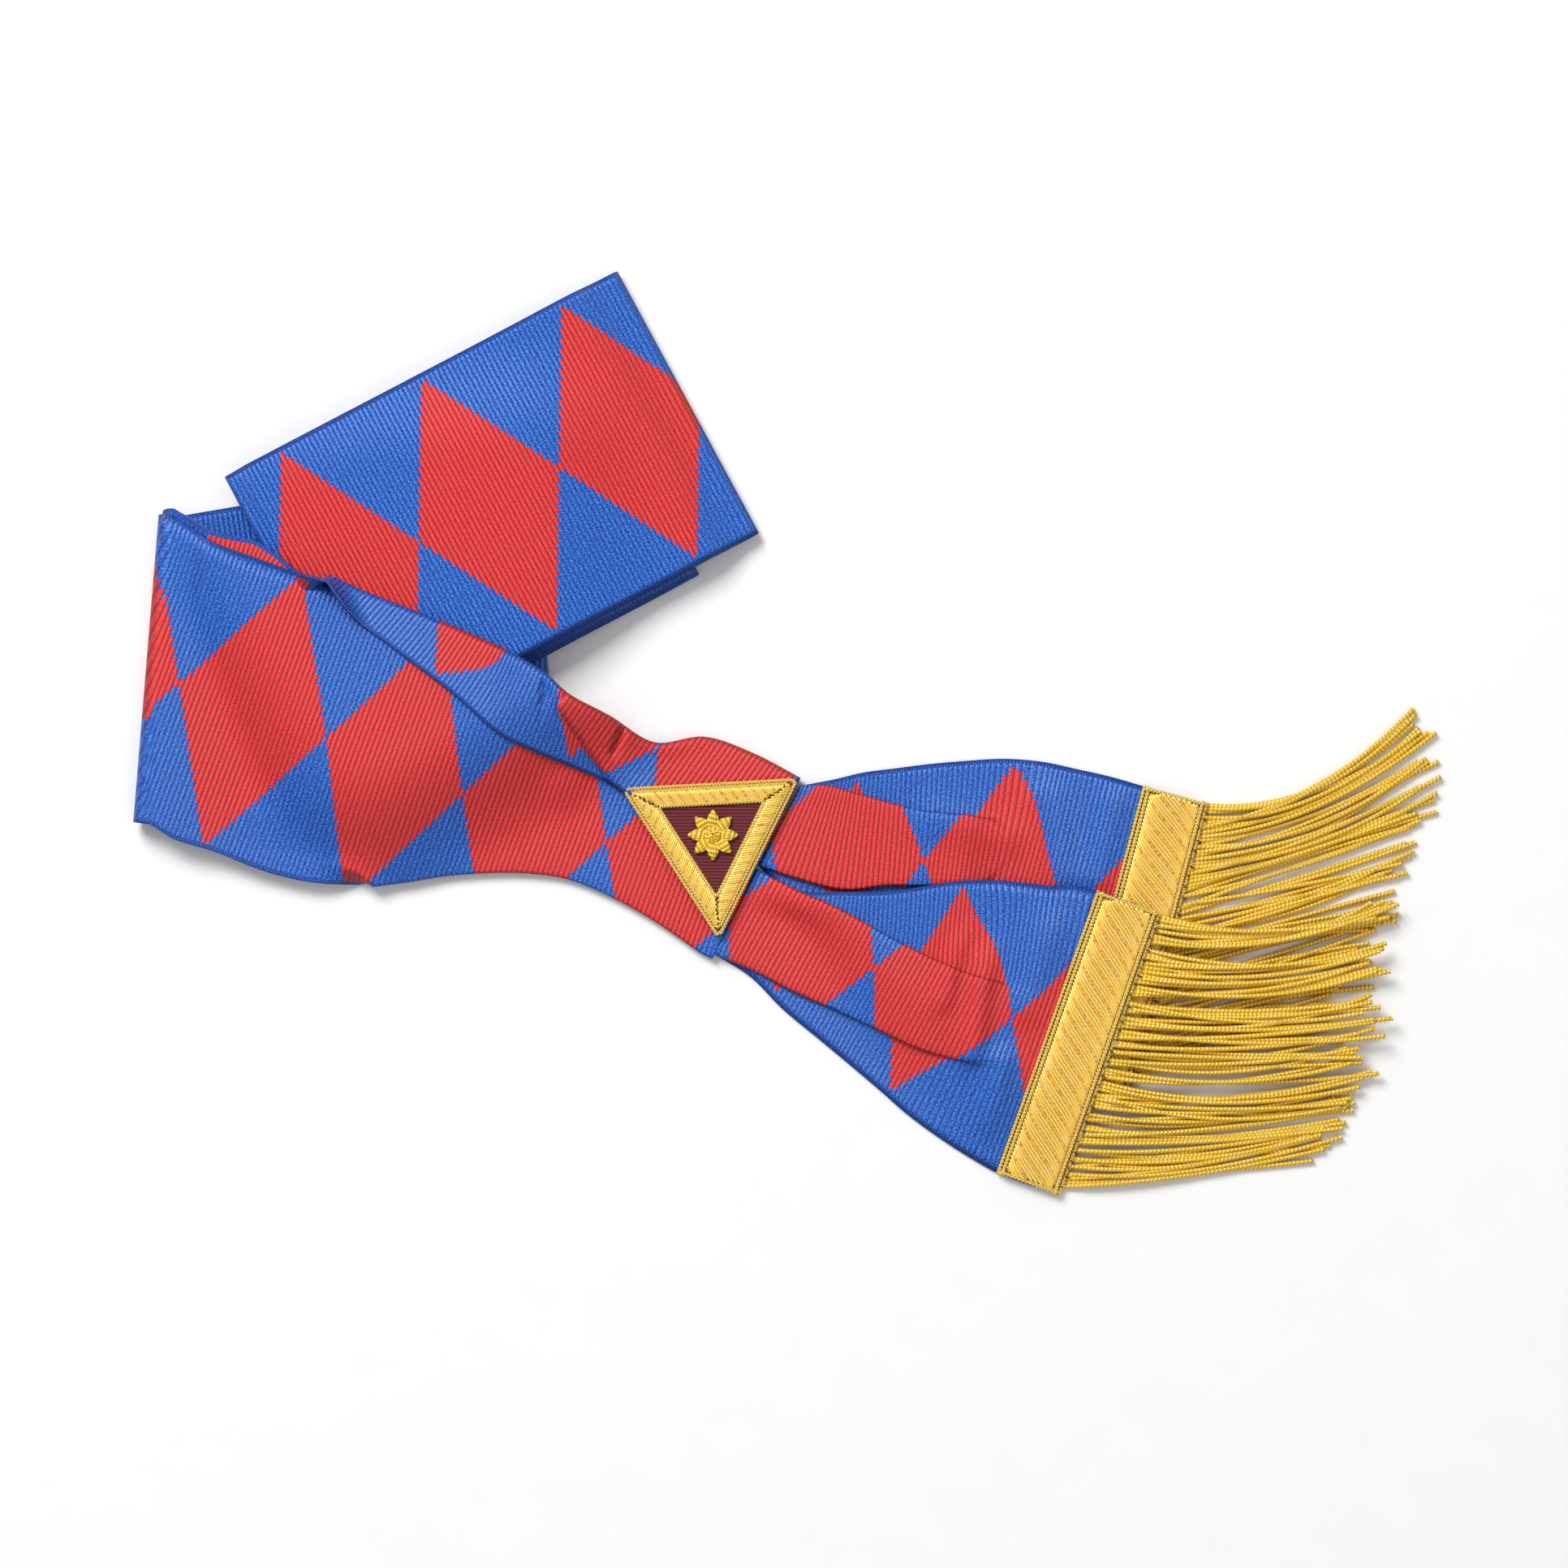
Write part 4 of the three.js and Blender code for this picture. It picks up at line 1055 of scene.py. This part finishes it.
gold_purl = gold_finish("gold_purl", (1.0, 0.71, 0.13), (0.86, 0.52, 0.08), 0.28, 0.40)
gold_check = gold_finish("gold_check_purl", (1.0, 0.62, 0.12), (0.50, 0.20, 0.015), 0.24, 0.5, sparkle=0.8)
gold_twist = gold_finish("gold_twist", (1.0, 0.74, 0.17), (0.86, 0.52, 0.08), 0.30, 0.35, pitch=0.0006)
gold_strand = gold_finish("gold_strand", (1.0, 0.69, 0.07), (0.58, 0.29, 0.012), 0.28, 0.42,
                          pitch=STRAND_PITCH)
dark_thread = gold_finish("dark_thread", (0.05, 0.02, 0.05), (0.01, 0.006, 0.02), 0.6, 0.0)
# The padding is dark brown as painted shade where it shows in the gaps between the purl.
padding_shade = gold_finish("padding_painted_shade", (0.26, 0.11, 0.012), (0.16, 0.06, 0.006), 0.5, 0.3)


def band_height(across):
    """Share of the padding's height at a share of the way across it."""
    return (1 - np.abs(2 * across - 1) ** 4.5) ** 0.6


def slant_curve(q):
    """Share of the slant passed at q across the padding: steep at both edges."""
    x = 2 * q - 1
    return 0.5 * (0.74 * x + 0.26 * x ** 5)


def is_check(n):
    """Three lines of smooth purl, then one of sparkling check purl."""
    return n % 4 > 2


def band_purl(name, end, check):
    """Purl laid side by side in slanting curves over the band's padding."""
    paths = []
    pitch, slant = 0.00132, 0.0185
    q = np.linspace(0.0, 1.0, 21)
    for n in range(int((end.length + slant) / pitch)):
        if is_check(n) != check:
            continue
        share = (n * pitch - slant / 2 + slant * slant_curve(q)) / end.length
        keep = (share > 0.004) & (share < 0.996)
        if keep.sum() < 3:
            continue
        qq, ss = q[keep], share[keep]
        z = np.array([end.ground(s) for s in ss]) + LAYER + BAND_HEIGHT * 0.80 * band_height(qq)
        p = np.array([end.place(s, BAND_INNER + BAND_WIDTH * (0.05 + 0.90 * x)) for s, x in zip(ss, qq)])
        paths.append(np.column_stack([p, z]))
    return strands(name, paths, 0.00060 if check else 0.00050, sides=8)


def band_pad(name, end):
    """The padding under the purl."""
    x = np.linspace(0, 1, 16)
    upper, under = [], []
    for share in np.linspace(0, 1, 40):
        ground = end.ground(share) + LAYER
        p = np.array([end.place(share, BAND_INNER + BAND_WIDTH * part) for part in x])
        upper.append(np.column_stack([p, ground + BAND_HEIGHT * 0.78 * band_height(x)]))
        under.append(np.column_stack([p, np.full(len(x), ground - 0.0001)]))
    return closed_piece(name, np.array(upper), np.array(under))


def band_cords(name, end):
    """Two twisted cords along each long side of the band and one across each end."""
    paths = []
    low, high = BAND_INNER, BAND_INNER + BAND_WIDTH
    sides = ((low - 0.0006, 0.0007), (low + 0.0008, 0.0017), (high - 0.0008, 0.0017), (high + 0.0006, 0.0007))
    lines = [((-0.004, reach), (1.004, reach), up) for reach, up in sides]
    lines += [((share, low), (share, high), 0.0018) for share in (0.004, 0.996)]
    for (share_a, reach_a), (share_b, reach_b), up in lines:
        path = []
        for t in np.linspace(0, 1, 60):
            share = lerp(share_a, share_b, t)
            ground = end.ground(min(1, max(0, share)))
            path.append([*end.place(share, lerp(reach_a, reach_b, t)), ground + LAYER + up])
        paths += twisted(np.array(path), 2, 0.00036, 0.0026, 0.00033)
    return strands(name, paths, 0.0004)


def head_stitches(name, end, count):
    """Small dark stitches that hold the fringe's head to the band."""
    paths = []
    head = BAND_INNER + BAND_WIDTH
    for n in range(count):
        share = 0.01 + 0.98 * (n + 0.5 + 0.2 * math.sin(n * 5.1)) / count
        ground = end.ground(share) + LAYER
        reach = 0.0016 + 0.0007 * math.sin(n * 2.3)
        path = [[*end.place(share, head + 0.0006), ground + 0.0016],
                [*end.place(share + 0.002, head + reach * 0.7), ground + 0.0014],
                [*end.place(share + 0.003, head + reach), ground + 0.0002]]
        paths.append(resample(path, 0.0004))
    return strands(name, paths, 0.00028, sides=5)


ends = {"upper": TailEnd(UPPER_TAIL), "lower": TailEnd(LOWER_TAIL)}
for where, end in ends.items():
    fit(band_pad(where + "_band_padding", end), padding_shade, where + "_band")
    fit(band_purl(where + "_band_purl", end, False), gold_purl)
    fit(band_purl(where + "_band_check_purl", end, True), gold_check)
    fit(band_cords(where + "_band_twist", end), gold_twist, where + "_band_cord")
    fit(head_stitches(where + "_head_stitches", end, 30), dark_thread)

# Fringe

LOCK_COLUMNS = ("share", "bendX", "bendY", "tipX", "tipY", "tipHigh")
UPPER_LOCKS = table(LOCK_COLUMNS, [
    (0.045, 1.734, -0.299, 2.130, 0.038, 0),
    (0.16, 1.734, -0.366, 2.163, -0.095, 0),
    (0.275, 1.712, -0.440, 2.149, -0.231, 0),
    (0.39, 1.685, -0.521, 2.090, -0.361, 0),
    (0.505, 1.650, -0.611, 2.049, -0.494, 0),
    (0.62, 1.609, -0.711, 1.989, -0.630, 0),
    (0.735, 1.555, -0.820, 1.935, -0.760, 0),
    (0.85, 1.487, -0.934, 1.881, -0.885, 0),
    (0.955, 1.419, -1.053, 1.826, -0.999, 0),
])
LOWER_LOCKS = table(LOCK_COLUMNS, [
    (0.045, 1.609, -0.738, 2.022, -0.592, 3.2),
    (0.16, 1.582, -0.830, 2.005, -0.716, 3.2),
    (0.275, 1.555, -0.934, 1.978, -0.830, 3.2),
    (0.39, 1.512, -1.042, 1.962, -0.950, 3.2),
    (0.505, 1.468, -1.145, 1.929, -1.058, 3.0),
    (0.62, 1.425, -1.248, 1.908, -1.156, 1.6),
    (0.735, 1.365, -1.346, 1.870, -1.248, 0.2),
    (0.85, 1.322, -1.444, 1.826, -1.324, 0),
    (0.955, 1.284, -1.531, 1.772, -1.384, 0),
])


def fringe(name, end, locks):
    """Bullion strands that leave the head square to the band and sweep round together."""
    paths = []
    head = BAND_INNER + BAND_WIDTH - 0.0004
    shares = locks["share"]

    def column(key, share):
        return float(np.interp(share, shares, locks[key]))

    for n in range(STRAND_COUNT):
        share = 0.004 + 0.992 * (n + 0.5) / STRAND_COUNT
        stray = rng.normal(0, 1, 6)
        near = np.clip(share + 0.028 * stray[0], shares[0], shares[-1])
        root = end.place(share, head - 0.0035)
        bend = plan(column("bendX", near), column("bendY", near)) + 0.0028 * stray[1:3]
        tip = plan(column("tipX", near), column("tipY", near)) + 0.0034 * stray[3:5]
        t = np.linspace(0, 1, 60)[:, None]
        p = root * (1 - t) ** 2 + bend * 2 * t * (1 - t) + tip * t * t
        past = (p - end.place(share, head)) @ end.out
        settle = ease((past - 0.001) / 0.045)
        base = np.array([end.ground(min(1, max(0, end.share_of(q)))) for q in p])
        lap = (n % 2) * 0.0011 * ease(past / 0.012) * (0.75 + 0.25 * np.sin(5 * t[:, 0] + stray[5]))
        z = lerp(base, column("tipHigh", near) * LAYER, settle) + STRAND_RADIUS + 0.00004 + lap
        paths.append(resample(np.column_stack([p, z]), 0.00047))
    return strands(name, paths, STRAND_RADIUS, ridge=0.17, pitch=STRAND_PITCH)


for where, locks in (("upper", UPPER_LOCKS), ("lower", LOWER_LOCKS)):
    piece = fringe(where + "_fringe_strands", ends[where], locks)
    fit(piece, gold_strand, where + "_fringe")

# Badge

def badge_plate(name, rings):
    """A flat-sided plate through rings of corners, closed under and over."""
    points = np.concatenate(rings) + shift
    count = len(badge_corners)
    faces = []
    for k in range(len(rings) - 1):
        for i in range(count):
            j = (i + 1) % count
            faces.append([k * count + i, k * count + j, (k + 1) * count + j, (k + 1) * count + i])
    faces.append(list(range(count))[::-1])
    faces.append([(len(rings) - 1) * count + i for i in range(count)])
    return mesh_piece(name, points, faces, smooth=False, weave=points[:, :2])


def badge_border(name, check):
    """Purl laid slanting over the border's padding, side by side round the badge."""
    paths = []
    inner, outer = CORD_WIDTH + GAP, CORD_WIDTH + GAP + BORDER_WIDTH
    pitch, slant = 0.0009, 0.0052
    q = np.linspace(0, 1, 11)
    for i, corner in enumerate(badge_corners):
        following = badge_corners[(i + 1) % len(badge_corners)]
        way = unit(following - corner)
        inward = np.array([way[1], -way[0]])
        length = np.linalg.norm(following - corner)
        rings = [badge_ring(x, 0)[[i, (i + 1) % len(badge_corners)], :2] for x in (inner, outer)]
        for n in range(int(length / pitch) + 8):
            if is_check(n) != check:
                continue
            places = (n - 4) * pitch + slant * slant_curve(q)
            reach = inner + (outer - inner) * (0.04 + 0.92 * q)
            low = lerp((rings[0][0] - corner) @ way, (rings[1][0] - corner) @ way, q)
            high = lerp((rings[0][1] - corner) @ way, (rings[1][1] - corner) @ way, q)
            keep = (places > low) & (places < high)
            if keep.sum() < 3:
                continue
            p = corner + places[keep, None] * way + reach[keep, None] * inward
            z = BADGE_GROUND + BORDER_HEIGHT * 0.8 * band_height(q[keep])
            paths.append(np.column_stack([p, z]))
    return strands(name, paths, 0.00038, sides=8)


def closed_path(corners, step):
    """Even points round a ring of corners."""
    out = []
    for i in range(len(corners)):
        a, b = corners[i], corners[(i + 1) % len(corners)]
        count = int(np.linalg.norm(b - a) / step)
        out += [lerp(a, b, k / count) for k in range(count)]
    return np.array(out + [corners[0]])


def rounded(corners, share):
    """The ring of corners with each corner rounded off."""
    out = []
    for i, corner in enumerate(corners):
        a = lerp(corner, corners[i - 1], share)
        b = lerp(corner, corners[(i + 1) % len(corners)], share)
        for t in np.linspace(0, 1, 6):
            out.append(a * (1 - t) ** 2 + corner * 2 * t * (1 - t) + b * t * t)
    return out


hidden_inset = field_inset - 0.0012
field = badge_plate("badge_field_cloth", [badge_ring(hidden_inset, up) for up in (0, FIELD_HEIGHT)])
border_base = badge_plate("badge_border_padding", [badge_ring(CORD_WIDTH, 0),
                                                   badge_ring(CORD_WIDTH + 0.001, FIELD_HEIGHT * 0.8)])
border = badge_border("badge_border_purl", False)
checks = badge_border("badge_border_check_purl", True)
cord_paths = []
for away, up in ((CORD_WIDTH * 0.55, 0.0007), (CORD_WIDTH * 0.55 + 0.0012, 0.0012),
                 (field_inset - 0.0009, 0.0019)):
    path = closed_path(rounded(badge_ring(away, up), 0.02), 0.0006)
    cord_paths += twisted(path, 2, 0.00034, 0.0024, 0.00033)
cord = strands("badge_twist", cord_paths, 0.00038)
maroon = Finish("dark_red_rep", Specular_IOR_Level=0.3, Sheen_Weight=0.2)
rep = abs((maroon.weave()[1] * (math.pi / 0.0011)).sine())
# Painted shade: the rep is darker in the grooves between its ribs.
maroon.feed(Base_Color=maroon.mix(rep.rise(0.1, 0.9), (0.035, 0.003, 0.008), (0.16, 0.012, 0.02)),
            Roughness=rep * 0.1 + 0.6)
maroon.relief(rep, 0.0002)


def rosette():
    """A ring of purl petals round a coiled middle."""
    middle = badge_ring(CORD_WIDTH + BORDER_WIDTH, 0).mean(axis=0)
    base = BADGE_GROUND + FIELD_HEIGHT
    paths = []
    for k in range(8):
        angle = 2 * math.pi * k / 8
        way = np.array([math.cos(angle), math.sin(angle)])
        side = np.array([-way[1], way[0]])
        for lane in np.linspace(-1, 1, 5):
            t = np.linspace(0, 1, 14)
            reach = 0.0026 + 0.0058 * t * (1 - 0.12 * lane * lane)
            spread = 0.0016 * lane * np.sin(math.pi * (0.12 + 0.86 * t)) ** 0.8
            p = middle[:2] + reach[:, None] * way + spread[:, None] * side
            z = base + 0.0005 + 0.0011 * np.sin(math.pi * t) * (1 - 0.4 * lane * lane)
            paths.append(np.column_stack([p, z]))
    turns = np.linspace(0, 3.2 * 2 * math.pi, 90)
    r = 0.0026 * (1 - turns / turns[-1]) + 0.0002
    coil = np.column_stack([middle[0] + r * np.cos(turns), middle[1] + r * np.sin(turns),
                            base + 0.0008 + 0.0011 * turns / turns[-1]])
    paths.append(coil)
    return strands("badge_rosette_purl", paths, 0.00052)


fit(field, maroon, "badge_field")
fit(border_base, padding_shade, "badge_border")
fit(border, gold_purl)
fit(checks, gold_check)
fit(cord, gold_twist, "badge_cord")
fit(rosette(), gold_strand, "badge_rosette")

bpy.context.view_layer.update()
